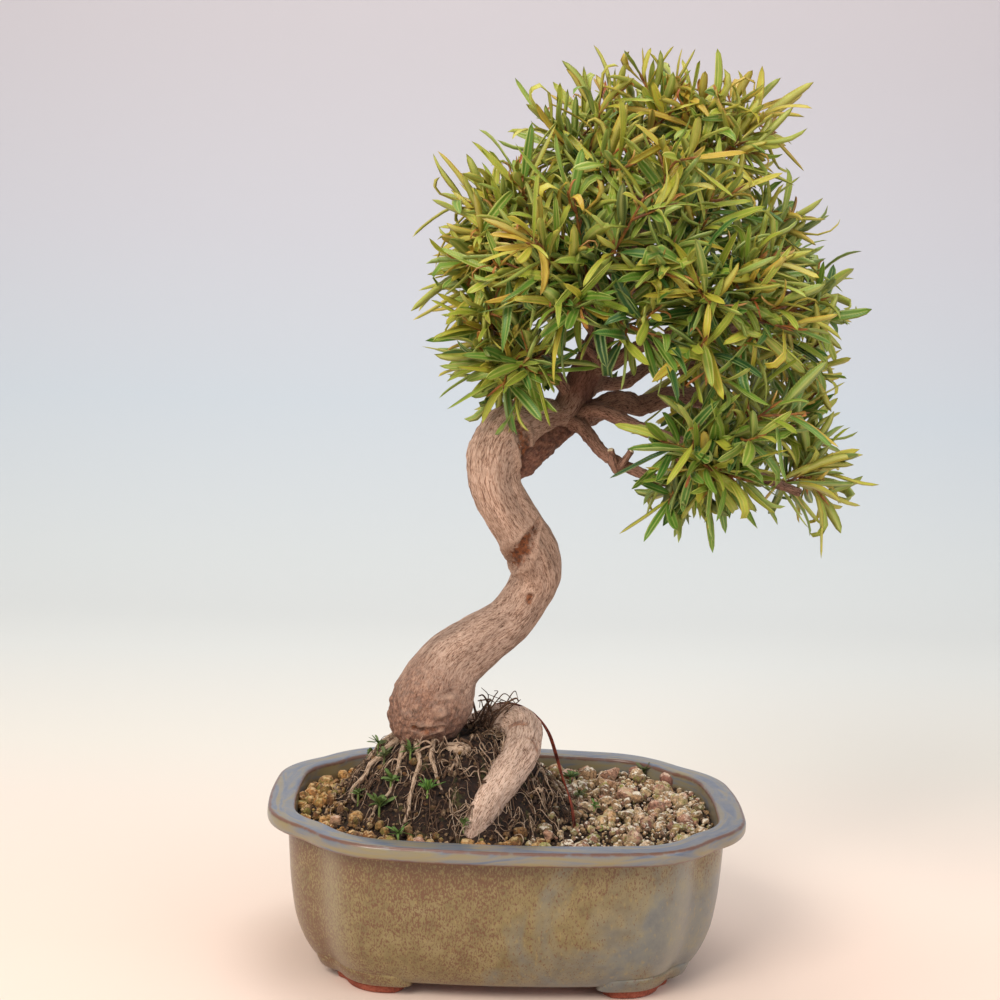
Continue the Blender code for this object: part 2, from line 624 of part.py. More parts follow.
def plan_sprays():
    """For every twig tip, the branch that reaches it, nudged until twigs stay clear of each other."""
    samples = limb_samples()
    cloud = np.vstack([smooth_path(rows, 60) for rows in [TRUNK, *LIMBS.values()]])
    draw = np.random.RandomState(SEED + 7)
    lines = []
    for tip in SPRAY_TIPS:
        best = None
        for attempt in range(30):
            shift = draw.uniform(-1, 1, 3) * 0.5 * attempt
            start, branch, twig = spray_line(tip, samples, shift)
            room = room_between(twig[1:], cloud)
            if best is None or room > best[0]:
                best = (room, (start, branch, twig))
            if room > TWIG_ROOM:
                break
        start, branch, twig = best[1]
        taken = np.vstack([branch, twig])
        cloud = np.vstack([cloud, np.column_stack([taken, np.full(len(taken), TWIG_RADIUS)])])
        lines.append(best[1])
    return lines


def make_sprays(wood, lines, leaf, bronze):
    """All the leafy twigs, each kept clear of the wood, of the other twigs and of the sprays before it."""
    twigs = []
    for _, _, line in lines:
        guide = tube("guide", twig_rows(line), 4, 3, leaf, grow=0.4)
        twigs.append(tree_of_object(guide))
        bpy.data.objects.remove(guide)
    grown = []
    wood_tree = tree_of_object(wood)
    for k, (_, _, line) in enumerate(lines):
        neighbours = [wood_tree] + grown + twigs[:k] + twigs[k + 1:]
        draw = np.random.RandomState(SEED + 1000 + k)
        finish = bronze if k < 4 else leaf
        spray = grow_spray("spray_%02d" % (k + 1), line, neighbours, draw, finish)
        grown.append(tree_of_object(spray))


def centre_on_box():
    """Moves every mesh so that the part's box is centred on X and Y and stands on Z = 0."""
    made = [o for o in bpy.context.scene.objects if o.type == "MESH"]
    corners = np.array([v.co for o in made for v in o.data.vertices])
    low, high = corners.min(0), corners.max(0)
    shift = (-(low[0] + high[0]) / 2, -(low[1] + high[1]) / 2, -low[2])
    for each in made:
        each.data.vertices.foreach_set("co", (np.array([v.co for v in each.data.vertices]) + shift).ravel())
        each.data.update()


def main():
    for old in list(bpy.data.objects):
        bpy.data.objects.remove(old)
    glaze = material("glazed_stoneware", (0.23, 0.19, 0.10), 0.35)
    bark = material("fig_bark", (0.42, 0.30, 0.22), 0.8)
    leaf = material("fig_leaf", (0.22, 0.33, 0.04), 0.45)
    bronze = material("young_fig_leaf", (0.40, 0.26, 0.06), 0.45)
    grit = material("bonsai_soil", (0.33, 0.24, 0.14), 0.95)
    plastic = material("black_plastic", (0.02, 0.02, 0.02), 0.6)
    copper = material("aged_copper", (0.15, 0.06, 0.04), 0.45, 1.0)
    weed = material("weed_leaf", (0.10, 0.25, 0.03), 0.5)

    make_pot(glaze)
    make_screen("drain_mesh_left", -DRAIN_HOLE_X, plastic)
    make_screen("drain_mesh_right", DRAIN_HOLE_X, plastic)
    make_soil(make_soil_cutters(grit), grit)
    lines = plan_sprays()
    wood = make_wood(lines, bark)
    tube("tie_wire", wire_rows(), 4, 12, copper)
    for name, row in WEEDS.items():
        make_weed(name, *row, weed)
    make_sprays(wood, lines, leaf, bronze)
    centre_on_box()


main()
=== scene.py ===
"""Looks of a willow leaf fig bonsai in a glazed four-lobed pot.

Lengths in the formulas are millimetres round the middle of the pot, long side along X, and are
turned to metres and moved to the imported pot's place when a mesh is made.
"""

import bpy
import numpy as np
from mathutils import Matrix, Vector


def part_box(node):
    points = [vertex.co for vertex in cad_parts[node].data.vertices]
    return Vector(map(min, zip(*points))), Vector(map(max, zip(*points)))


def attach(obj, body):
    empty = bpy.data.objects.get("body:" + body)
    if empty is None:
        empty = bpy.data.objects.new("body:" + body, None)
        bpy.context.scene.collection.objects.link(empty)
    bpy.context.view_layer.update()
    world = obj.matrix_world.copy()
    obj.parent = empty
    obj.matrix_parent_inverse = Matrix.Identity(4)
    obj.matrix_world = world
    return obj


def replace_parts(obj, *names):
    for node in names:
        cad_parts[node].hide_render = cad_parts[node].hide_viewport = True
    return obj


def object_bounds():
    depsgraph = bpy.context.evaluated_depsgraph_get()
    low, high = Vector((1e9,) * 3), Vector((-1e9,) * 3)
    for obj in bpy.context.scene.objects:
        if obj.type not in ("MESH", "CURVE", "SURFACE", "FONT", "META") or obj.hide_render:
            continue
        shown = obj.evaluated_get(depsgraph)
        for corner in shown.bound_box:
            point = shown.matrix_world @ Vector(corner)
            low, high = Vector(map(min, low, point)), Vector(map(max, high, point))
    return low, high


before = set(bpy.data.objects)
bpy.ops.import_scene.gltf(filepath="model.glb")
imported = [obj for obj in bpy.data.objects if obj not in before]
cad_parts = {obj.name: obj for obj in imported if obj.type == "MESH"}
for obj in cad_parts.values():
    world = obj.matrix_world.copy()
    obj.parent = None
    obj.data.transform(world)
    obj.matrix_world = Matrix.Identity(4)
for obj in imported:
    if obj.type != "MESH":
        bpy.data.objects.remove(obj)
CAD_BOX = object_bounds()

MM = 0.001
SEED = 41
POT_LOW, POT_HIGH = (np.array(corner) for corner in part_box("pot"))
POT_PLACE = np.array([(POT_LOW[0] + POT_HIGH[0]) / 2, (POT_LOW[1] + POT_HIGH[1]) / 2, POT_LOW[2]])

# Camera as seen in the photograph: what it looks at, how far off, its tilt, turn, roll and lens
LOOK_AT = (-8.8, 0.0, 233.3)
CAMERA_DISTANCE = 850.0
CAMERA_RISE = 6.64
CAMERA_TURN = -1.76
CAMERA_ROLL = 2.13
CAMERA_LENS = 61.12

# The backdrop paper: half its width and its height, where it starts, where it bends up and how round
PAPER_HALF = 3200.0
PAPER_FRONT = -1600.0
PAPER_BEND = 900.0
PAPER_RADIUS = 700.0
# Its tones by depth plus height, up to this many metres: painted light, warm cream near the pot, cooler and a
# little darker further back and higher
PAPER_REACH = 2.4
PAPER_PAINTED_LIGHT_TONES = [(0.0, "#EAD3C3"), (0.16, "#E2DCD1"), (0.30, "#DCDDD8"), (0.48, "#D4D8D7"), (0.66, "#C9D0D6"),
               (0.82, "#CCCBD1"), (1.0, "#CFC8CC")]

# Pot: the same driving sizes as the solid
POT_HALF_LENGTH = 120.0
POT_HALF_WIDTH = 94.0
POT_HEIGHT = 82.0
LONG_LOBE_HALF = 106.0
SHORT_LOBE_HALF = 74.5
LONG_SIDE_BOW = 13.5
SHORT_SIDE_BOW = 9.5
CORNER_RADIUS = 45.0
NOTCH_SOFTNESS = 3.0
RIM_WIDTH = 13.8
RIM_MIDDLE = 6.0
UNDERSIDE_Z = 6.5
UNDERSIDE_INSET = 34.0
FLOOR_Z = 13.0
FLOOR_INSET = 29.0
FOOT_DIRECTION = 0.665
FOOT_HALF_ANGLE = 0.20
RAIL_HALF_ANGLE = 0.29
DRAIN_HOLE_X = 48.0
DRAIN_HOLE_RADIUS = 8.0
INNER_WALL = [(FLOOR_Z, 31.0), (20.0, 24.0), (45.0, 18.5), (POT_HEIGHT - 1.2, RIM_WIDTH)]
POT_PROFILE = [
    (34.0, 6.5), (30.0, 6.6), (27.5, 7.3), (25.0, 9.0), (22.2, 12.6), (19.6, 17.0), (17.1, 22.5),
    (15.0, 29.0), (13.5, 37.0), (12.3, 46.0), (11.4, 58.0), (10.7, 69.0), (10.2, 73.0), (8.8, 74.7),
    (6.0, 75.1), (2.2, 75.2), (0.8, 75.6), (0.15, 76.8), (0.0, 78.6), (0.2, 80.6), (0.8, 81.6), (2.0, 82.0),
    (5.0, 82.15), (9.5, 82.1), (12.2, 81.9), (13.3, 81.4), (13.9, 80.4), (14.3, 77.0), (16.2, 62.0),
    (18.5, 45.0), (24.0, 20.0), (29.0, 14.0),
]

# Soil
SOIL_LEVEL = 74.0
# The root-ball mound, the dark peaty patch on it, and where the surface roots leave the trunk
MOUND_CENTRE = (-28.0, -6.0)
MOUND_HEIGHT = 42.0
MOUND_REACH = (50.0, 44.0)
MOUND_STEEPNESS = 1.9
PEAT_CENTRE = (-24.0, -8.0)
PEAT_REACH = (64.0, 57.0)
ROOT_HUB = (-43.0, -5.0)
ROOT_START = 9.0

# Bigger stones that lie on the grains: x, y and radius
STONES = [(89.0, 54.0, 5.8), (45.8, 67.0, 5.0), (58.9, 59.0, 6.2), (73.7, 69.0, 5.0), (36.0, 60.0, 5.2),
          (64.0, 24.0, 5.0), (78.0, 6.0, 5.4), (52.0, -14.0, 4.6), (30.0, 70.0, 4.4), (-66.0, -58.0, 3.6),
          (56.0, 42.0, 4.4), (84.0, 34.0, 4.8), (94.0, 20.0, 4.4), (70.0, -22.0, 4.6), (90.0, -14.0, 4.2),
          (-44.0, -66.0, 3.8), (-84.0, -36.0, 3.6), (60.0, -50.0, 4.2)]
# Seedlings of weeds, as x, y, number of leaves, leaf length and leaf width
SEEDLINGS = [(-22.0, -58.0, 8, 4.5, 1.2), (36.5, 51.8, 5, 7.0, 3.0), (78.0, 66.0, 6, 6.0, 2.0),
             (95.0, 57.0, 6, 4.5, 1.7), (-58.0, -37.0, 6, 7.5, 3.0), (-49.0, -30.0, 8, 7.0, 1.1),
             (-62.0, -22.0, 6, 6.0, 2.4), (38.0, 10.0, 7, 5.0, 1.6), (-74.0, -30.0, 5, 4.5, 1.8),
             (45.0, -4.0, 5, 4.0, 1.6), (-66.0, -2.0, 7, 6.5, 1.2), (-70.0, 14.0, 6, 5.5, 2.2)]

# Tree: (x, y, z, radius) along each centre line, as in the solid; spray tips are (x, y, z)
TRUNK = [
    (-44, -4, 90, 10), (-44, -5, 107, 12), (-43, -6, 119, 18), (-39, -6, 133, 20.3),
    (-31, -2, 149, 16.8), (-17, 4, 160, 14.3), (-2, 10, 170, 12.6), (7, 12, 182, 12.2),
    (12, 10, 195, 12.8), (8, 4, 208, 13.2), (0, -3, 221, 12.8), (-8, -8, 234, 12.8),
    (-12.5, -10, 246, 13.2), (-11, -8, 258, 14.2), (-4, -3, 268, 14), (8, 2, 273, 12),
    (22, 6, 276, 9.5), (29, 9, 290, 8.3), (35, 10, 306, 7.4), (41, 10, 322, 6.6), (48, 8, 342, 5.6),
    (50, 5, 362, 4.8), (54, 4, 383, 3.8), (50, 6, 405, 2.6),
]
ARCH_ROOT = [
    (-34, 18, 100, 8), (-19, 25, 107, 9), (-4, 17, 115, 9.5), (7, 1, 117, 9.6),
    (6, -14, 110, 9.8), (-1, -28, 101, 9.6), (-10, -41, 91, 9), (-17, -50, 81, 7.8), (-22, -57, 70, 6),
]
BEND_BURR = [(-6, -9, 248, 6), (2, -8, 253, 7), (9, -6, 260, 7), (17, -1, 267, 6.5), (25, 4, 272, 5)]
LIMBS = {
    "right_stub": [(20, 6, 275, 6.5), (34, 7, 277, 5.8), (48, 2, 285, 5.4), (60, 2, 283, 5),
                   (75, -5, 289, 5), (90, -8, 288, 4.7)],
    "right_low": [(32, 2, 277, 4.2), (40, -7, 280, 3.7), (58, -21, 273, 3.3), (75, -29, 268, 3.1),
                  (92, -33, 262, 2.8), (117, -37, 252, 2.4), (134, -38, 246, 1.9)],
    "low": [(24, 4, 274, 4.4), (31, -5, 271, 3.6), (42, -13, 259, 3.1), (62, -19, 250, 2.6),
            (80, -22, 245, 2)],
    "pale": [(31, 10, 298, 4.4), (44, 4, 303, 3.6), (59, -4, 313, 3.2), (76, -5, 311, 2.9),
             (94, -10, 321, 2.7), (115, -7, 327, 2.3), (131, -3, 341, 1.9)],
    "cut_stub": [(48, 8, 342, 4.2), (46, -1, 345, 3.7), (41, -9, 351, 3.6)],
    "upper_left": [(46, 8, 336, 4.2), (30, -2, 349, 3.6), (17, -3, 352, 3.2), (4, -10, 361, 2.8),
                   (-9, -9, 363, 2.4), (-20, -8, 369, 2)],
    "lower_left": [(27, 8, 284, 3.9), (17, 1, 296, 3.2), (8, -6, 307, 2.8), (-4, -6, 310, 2.5),
                   (-18, -8, 318, 2)],
    "back_right": [(24, 8, 279, 4.8), (38, 24, 291, 4), (55, 37, 293, 3.5), (72, 47, 303, 3.1),
                   (92, 50, 302, 2.6), (112, 50, 307, 2)],
    "back_left": [(40, 11, 318, 4), (34, 28, 328, 3.3), (22, 33, 341, 2.8), (11, 39, 343, 2.4),
                  (2, 40, 352, 2)],
    "front": [(36, 9, 308, 4), (36, -8, 317, 3.4), (28, -22, 327, 2.9), (31, -34, 336, 2.4),
              (26, -44, 342, 2)],
    "front_right": [(48, 7, 345, 4), (60, -9, 342, 3.3), (67, -24, 348, 2.8), (80, -34, 341, 2.4),
                    (90, -44, 338, 2)],
    "right_high": [(47, 8, 338, 4), (62, 9, 347, 3.4), (79, 2, 346, 2.9), (96, 5, 356, 2.4),
                   (112, 2, 358, 2)],
    "back_high": [(50, 6, 360, 3.6), (58, 21, 368, 3), (69, 31, 368, 2.6), (76, 42, 375, 2)],
    "top_right": [(53, 5, 374, 3.2), (66, 0, 385, 2.7), (71, 5, 398, 2.4), (84, 2, 408, 2)],
    "top_left": [(50, 5, 366, 3.2), (41, 0, 378, 2.7), (34, 5, 387, 2.4), (26, 2, 394, 2)],
}
SPRAY_TIPS = [
    (65, -3, 438), (82, -6, 432), (104, 5, 433), (38, -8, 430), (18, 6, 412), (99, -16, 411),
    (35, -44, 400), (60, -50, 401), (86, -42, 390), (48, -64, 378), (19, -48, 381),
    (46, 38, 424), (78, 44, 420), (60, 64, 400), (102, 54, 392), (28, 52, 388),
    (-20, 2, 380), (-4, -24, 386), (-22, -22, 362), (-26, -10, 340), (-12, -42, 350), (3, -58, 358),
    (-18, -30, 327), (-8, 36, 371), (-18, 42, 338), (15, 62, 342),
    (118, 0, 377), (134, 4, 360), (144, 6, 333), (146, 0, 302), (145, -6, 275), (141, -22, 252),
    (106, -50, 356), (117, -56, 325), (114, -60, 288), (77, -66, 340), (82, -64, 302), (84, -52, 262),
    (104, -44, 254), (82, -28, 247), (136, 46, 348), (138, 52, 306), (126, 46, 264), (98, 72, 322),
    (96, 52, 268), (-14, -20, 299), (-2, -38, 302), (-10, 22, 308), (60, -62, 352), (62, -58, 318),
    (14, -54, 330),
]
# Twigs: length and radius, the room each keeps from other wood, and how far a branch goes before its twig
TWIG_LENGTH = 42.0
TWIG_RADIUS = 1.3
TWIG_ROOM = 1.9
BRANCH_REACH = 4.0
# The middle of the crown, which leaves age away from, and the middle that branches lean away from
CROWN_HEART = np.array([55.0, 0.0, 330.0])
LIMB_HEART = np.array([45.0, 0.0, 325.0])
# A bud on a twig's tip: (how far past the tip, radius)
BUD = [(-1.0, 0.6), (1.5, 0.75), (4.0, 0.45), (6.5, 0.08)]
# Surface roots: (direction in degrees, length, radius)
SURFACE_ROOTS = [(196, 36, 1.5), (232, 40, 1.2), (258, 44, 1.4), (290, 36, 1.2), (160, 34, 1.5),
                 (122, 38, 1.3), (84, 42, 1.5), (38, 52, 1.4)]
ROOT_STUB = [(-33, -24, 110, 3.0), (-27, -27, 112, 4.2), (-20, -27, 110.5, 3.4)]
TIE_WIRE = [(-20, 38, 84), (-16, 37, 106), (-8, 34, 119), (2, 26, 123), (13, 15, 121), (20, 3, 115),
            (24, -9, 106), (27, -19, 97), (31, -28, 87), (34, -32, 70)]
TIE_WIRE_RADIUS = 0.8
STRAND_RADIUS = 0.5
STRAND_OFFSET = 0.42
# Weeds: the stem's height and the leaves' thickness, then for each weed where it stands, how many leaves a
# whorl has, their length and width and how steeply they rise
WEED_RISE = 5.0
WEED_THICKNESS = 0.25
SEEDLING_TILT = 0.7
WEEDS = {
    "weed_tuft_middle": ((-40, -47), 7, 10.0, 1.8, 0.9),
    "weed_tuft_front": ((-53, -62), 6, 9.0, 1.6, 0.7),
    "weed_broad": ((-63, -44), 5, 10.0, 4.2, 0.9),
}

# Marks on the trunk's front: the line of each as (x, y, z, half width), its depth and how rusty it is
TRUNK_MARKS = [
    ([(10.4, -10.2, 224, 1.6), (7.3, -13.3, 218, 2.8), (4.5, -13.0, 213, 3.9), (1.8, -10.8, 208.4, 4.6),
      (-1.3, -5.6, 204, 4.4), (-3.0, 4.0, 199, 3.0)], 2.4, 1.0),
    ([(8.0, -0.4, 184.5, 1.7), (7.2, 0.2, 182.0, 1.4)], 0.9, 1.0),
    ([(-3.4, -13.6, 277, 1.6), (-0.3, -16.3, 271, 2.6), (1.4, -16.3, 265, 3.0), (2.2, -14.7, 259, 3.6),
      (1.7, -10.2, 252, 3.4)], 1.8, 0.95),
    ([(-4.8, -16.9, 272, 0.7), (-2.1, -18.5, 265, 0.9), (0.0, -17.0, 259, 0.7)], 0.9, 0.7),
    ([(-24, -18.5, 139, 0.9), (-30, -24, 140, 1.3), (-36, -26, 138, 0.8)], 0.7, 0.7),
    ([(-48, -24, 122, 1.2), (-41, -26, 120, 1.8), (-34, -25, 122, 1.2)], 0.8, 0.8),
]
# Knobs on the swollen base: place, radius and height
TRUNK_KNOBS = [((-52.0, -22.5, 128.0), 2.6, 2.0), ((-34.7, -25.8, 129.8), 3.4, 2.6),
               ((-29.5, -23.6, 137.5), 2.2, 1.4), ((-44.8, -25.5, 123.0), 2.0, 1.3)]

# How fine the trunk's mesh is, how many fine roots there are and where the upright ones stand
TRUNK_SIDES = 104
TRUNK_RINGS = 460
ROOTLETS = 520
ROOT_HAIRS = 26
HAIR_PLACE = (-13.0, 8.0)
# Planes that break each grain of soil
GRAIN_CUTS = 7
# How far the bark's vector is pressed together along the wood, so that its strands come out long
GRAIN_PRESS = 0.16

# Short sawn snags left on the limbs
SNAGS = [[(44, -14, 259, 2.2), (47, -18, 252, 1.9), (43.5, -21, 262, 1.7)],
         [(47, -17, 252.5, 1.9), (50, -20, 256, 1.6), (53.5, -22, 262, 1.5)],
         [(38, 2, 303, 2.4), (33, -6, 309, 1.9), (27, -12, 314, 1.7)],
         [(70, -12, 320, 1.8), (73, -18, 324, 1.6), (75, -22, 330, 1.4)]]

# Leaves: how many on a spray's main twig, on each side twig and on its branch; lengths and widths from, to
TWIG_LEAVES = 15
SIDE_TWIGS = 5
SIDE_LEAVES = 7
BRANCH_LEAVES = 9
LEAF_LENGTH = (21.0, 40.0)
LEAF_WIDTH = (3.5, 5.9)
LEAF_STATIONS = 8
LEAF_THICKNESS = 0.32
# The turn from one leaf to the next on a twig, in radians
LEAF_SPIRAL = 2.4
# Leaves younger than this are new: short, narrow and folded
NEW_AGE = 0.09
# How far a leaf may reach past the solids' box, in millimetres
LEAF_SPARE = 3.0


def linear(colour):
    """An sRGB hex colour as linear red, green, blue and alpha."""
    parts = np.array([int(colour[i:i + 2], 16) for i in (1, 3, 5)]) / 255.0
    shade = np.where(parts <= 0.04045, parts / 12.92, ((parts + 0.055) / 1.055) ** 2.4)
    return (*(float(value) for value in shade), 1.0)


def add(tree, kind, inputs=(), ramp=None, out=0, **settings):
    """Adds a node and gives its chosen output. Inputs go by socket name or number, or in order, and each is a
    value, a hex colour or an output to link from."""
    made = tree.nodes.new("ShaderNode" + kind)
    for name, value in settings.items():
        setattr(made, name, value)
    if ramp:
        stops = made.color_ramp.elements
        while len(stops) < len(ramp):
            stops.new(0.5)
        for stop, (place, colour) in zip(stops, ramp):
            stop.position = place
            stop.color = linear(colour) if isinstance(colour, str) else (colour, colour, colour, 1.0)
    for key, value in inputs.items() if isinstance(inputs, dict) else enumerate(inputs):
        if isinstance(value, bpy.types.NodeSocket):
            tree.links.new(value, made.inputs[key])
        else:
            made.inputs[key].default_value = linear(value) if isinstance(value, str) else value
    return made.outputs[out]


def new_material(name, roughness=0.6, metallic=0.0, **sockets):
    """A material and its node tree and Principled shader, with uniform numbers set on the sockets."""
    made = bpy.data.materials.new(name)
    made.use_nodes = True
    shader = made.node_tree.nodes["Principled BSDF"]
    shader.inputs["Roughness"].default_value = roughness
    shader.inputs["Metallic"].default_value = metallic
    for key, value in sockets.items():
        shader.inputs[key.replace("_", " ")].default_value = value
    return made, made.node_tree, shader


def normalised(vectors):
    return vectors / np.linalg.norm(vectors, axis=-1, keepdims=True)


def put_mesh(name, points, faces, finish, slot, smooth=True, **attributes):
    """A piece from points in millimetres: whole arrays into the mesh, faces all of one length."""
    points = np.asarray(points, float).reshape(-1, 3) * MM + POT_PLACE
    faces = np.asarray(faces, np.int32)
    mesh = bpy.data.meshes.new(name)
    mesh.vertices.add(len(points))
    mesh.vertices.foreach_set("co", points.ravel())
    mesh.loops.add(faces.size)
    mesh.loops.foreach_set("vertex_index", faces.ravel())
    mesh.polygons.add(len(faces))
    mesh.polygons.foreach_set("loop_start", np.arange(0, faces.size, faces.shape[1], dtype=np.int32))
    mesh.polygons.foreach_set("use_smooth", np.full(len(faces), smooth))
    for key, value in attributes.items():
        value = np.asarray(value, float)
        if value.ndim > 1:
            mesh.attributes.new(key, "FLOAT_VECTOR", "POINT").data.foreach_set("vector", value.ravel())
        else:
            mesh.attributes.new(key, "FLOAT", "POINT").data.foreach_set("value", value)
    mesh.update()
    mesh.validate()
    mesh.materials.append(finish)
    made = bpy.data.objects.new(name, mesh)
    bpy.context.scene.collection.objects.link(made)
    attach(made, "root")
    return made


def grid_faces(rows, columns, wrap=True):
    """Quads of a grid of rows by columns, the columns joined round when wrap is set."""
    i, j = np.meshgrid(np.arange(rows - 1), np.arange(columns if wrap else columns - 1), indexing="ij")
    k = (j + 1) % columns
    quads = np.stack([i * columns + j, i * columns + k, (i + 1) * columns + k, (i + 1) * columns + j], -1)
    return quads.reshape(-1, 4)


def noise(points, size, seed=0):
    """Smooth random values from -1 to 1 on a lattice of the given size in millimetres."""
    place = np.asarray(points) / size + 37.7
    cell = np.floor(place).astype(np.int64)
    t = place - cell
    t = t * t * (3 - 2 * t)
    total = 0
    for corner in np.ndindex(2, 2, 2):
        near = cell + np.array(corner)
        mixed = near[..., 0] * 73856093 ^ near[..., 1] * 19349663 ^ near[..., 2] * 83492791
        mixed = mixed ^ (seed * 2654435761)
        mixed = (mixed ^ (mixed >> 13)) * 1274126177
        value = ((mixed ^ (mixed >> 16)) & 65535) / 32767.5 - 1
        share = np.where(corner, t, 1 - t)
        total = total + value * share.prod(-1)
    return total


def smooth_path(points, count):
    """A Catmull-Rom curve through rows of numbers, read at evenly spread steps."""
    points = np.asarray(points, float)
    padded = np.vstack([2 * points[0] - points[1], points, 2 * points[-1] - points[-2]])
    step = np.linspace(0, len(points) - 1, count)
    k = np.minimum(step.astype(int), len(points) - 2)
    t = (step - k)[:, None]
    a, b, c, d = padded[k], padded[k + 1], padded[k + 2], padded[k + 3]
    square = 2 * a - 5 * b + 4 * c - d
    cube = 3 * b - a - 3 * c + d
    return 0.5 * (2 * b + (c - a) * t + square * t ** 2 + cube * t ** 3)


def frames(path):
    """Directions along a path, and two cross directions that turn with it as little as they can."""
    along = normalised(np.gradient(path, axis=0))
    side = np.cross(along[0], (0.3, 0.9, 0.1))
    sides = []
    for direction in along:
        side = normalised(side - direction * np.dot(side, direction))
        sides.append(side)
    sides = np.array(sides)
    return along, sides, np.cross(along, sides)


def tube(rows, sides, count, radius_change=None):
    """A tube along (x, y, z, radius) rows: points, quads, a bark vector (round the wood and, pressed
    together, along it) and the distance along. What radius_change(points, turn, along, radius) gives is
    added to the radius."""
    rows = smooth_path(rows, count)
    path, radius = rows[:, :3], rows[:, 3]
    _, side, up = frames(path)
    turn = np.linspace(0, 2 * np.pi, sides, endpoint=False)
    along = np.concatenate([[0], np.cumsum(np.linalg.norm(np.diff(path, axis=0), axis=1))])
    ring = side[:, None] * np.cos(turn)[None, :, None] + up[:, None] * np.sin(turn)[None, :, None]
    wide = np.repeat(radius[:, None], sides, 1)
    if radius_change is not None:
        skin = path[:, None] + ring * wide[..., None]
        wide = wide + radius_change(skin, turn[None, :], along[:, None], wide)
    points = path[:, None] + ring * wide[..., None]
    grain = np.stack([np.cos(turn)[None] * wide, np.sin(turn)[None] * wide,
                      np.repeat(along[:, None] * GRAIN_PRESS, sides, 1)], -1)
    return points.reshape(-1, 3), grid_faces(count, sides), grain.reshape(-1, 3), np.repeat(along, sides)


def close_ends(points, faces, rows, columns):
    """Turns the quads to triangles and closes the first and last ring with a fan to a point in its middle."""
    end = (rows - 1) * columns
    first = points[:columns].mean(0)
    last = points[end:end + columns].mean(0)
    i = np.arange(columns)
    j = (i + 1) % columns
    fans = [np.stack([j, i, np.full(columns, len(points))], -1),
            np.stack([end + i, end + j, np.full(columns, len(points) + 1)], -1)]
    return np.vstack([points, first, last]), np.vstack([to_triangles(faces)] + fans)


def to_triangles(quads):
    return np.concatenate([quads[:, [0, 1, 2]], quads[:, [0, 2, 3]]])


def closed_tube(rows, sides, count, radius_change=None):
    """A tube with closed ends, as triangles."""
    points, faces, grain, along = tube(rows, sides, count, radius_change)
    points, faces = close_ends(points, faces, count, sides)
    ends = [[0, 0, 0], [0, 0, along[-1] * GRAIN_PRESS]]
    return points, faces, np.vstack([grain, ends]), np.concatenate([along, [0, along[-1]]])


def join(parts):
    """Stacks (points, faces, ...) parts into one, with the faces' numbers moved on."""
    points, faces, extras = [], [], [[] for _ in parts[0][2:]]
    count = 0
    for part in parts:
        points.append(part[0])
        faces.append(part[1] + count)
        for kept, extra in zip(extras, part[2:]):
            kept.append(extra)
        count += len(part[0])
    return [np.concatenate(points), np.concatenate(faces)] + [np.concatenate(kept) for kept in extras]


def put_wood(name, parts, finish):
    """One piece of bark from closed tubes."""
    points, faces, grain, _ = join(parts)
    return put_mesh(name, points, faces, finish, "bark", grain=grain)


# The pot

def bowed_box(x, y, half_x, half_y, bow_x, bow_y):
    """Signed distance, roughly, to a rounded box whose sides bow outwards in the middle."""
    out_x = np.abs(x) - (half_x - bow_x * (y / half_y) ** 2) + CORNER_RADIUS
    out_y = np.abs(y) - (half_y - bow_y * (x / half_x) ** 2) + CORNER_RADIUS
    outside = np.hypot(np.maximum(out_x, 0), np.maximum(out_y, 0))
    return outside + np.minimum(np.maximum(out_x, out_y), 0) - CORNER_RADIUS


def pot_distance(x, y):
    """Distance out from the rim's edge: the union of a long and a short bowed box, notches eased."""
    long_lobe = bowed_box(x, y, LONG_LOBE_HALF, POT_HALF_WIDTH, 0.0, LONG_SIDE_BOW)
    short_lobe = bowed_box(x, y, POT_HALF_LENGTH, SHORT_LOBE_HALF, SHORT_SIDE_BOW, 0.0)
    ease = np.maximum(NOTCH_SOFTNESS - np.abs(long_lobe - short_lobe), 0) / NOTCH_SOFTNESS
    return np.minimum(long_lobe, short_lobe) - ease ** 2 * NOTCH_SOFTNESS / 4


def outline(inset, angles):
    """Radius of the pot's plan at distances in from the rim, along rays, found by halving."""
    inset = np.broadcast_to(inset, np.broadcast(inset, angles).shape)
    low = np.zeros(inset.shape)
    high = np.full(inset.shape, 2 * POT_HALF_LENGTH)
    for _ in range(36):
        middle = (low + high) / 2
        inside = pot_distance(middle * np.cos(angles), middle * np.sin(angles)) < -inset
        low = np.where(inside, middle, low)
        high = np.where(inside, high, middle)
    return low


def inner_wall_inset(z):
    heights, insets = zip(*INNER_WALL)
    return float(np.interp(z, heights, insets))


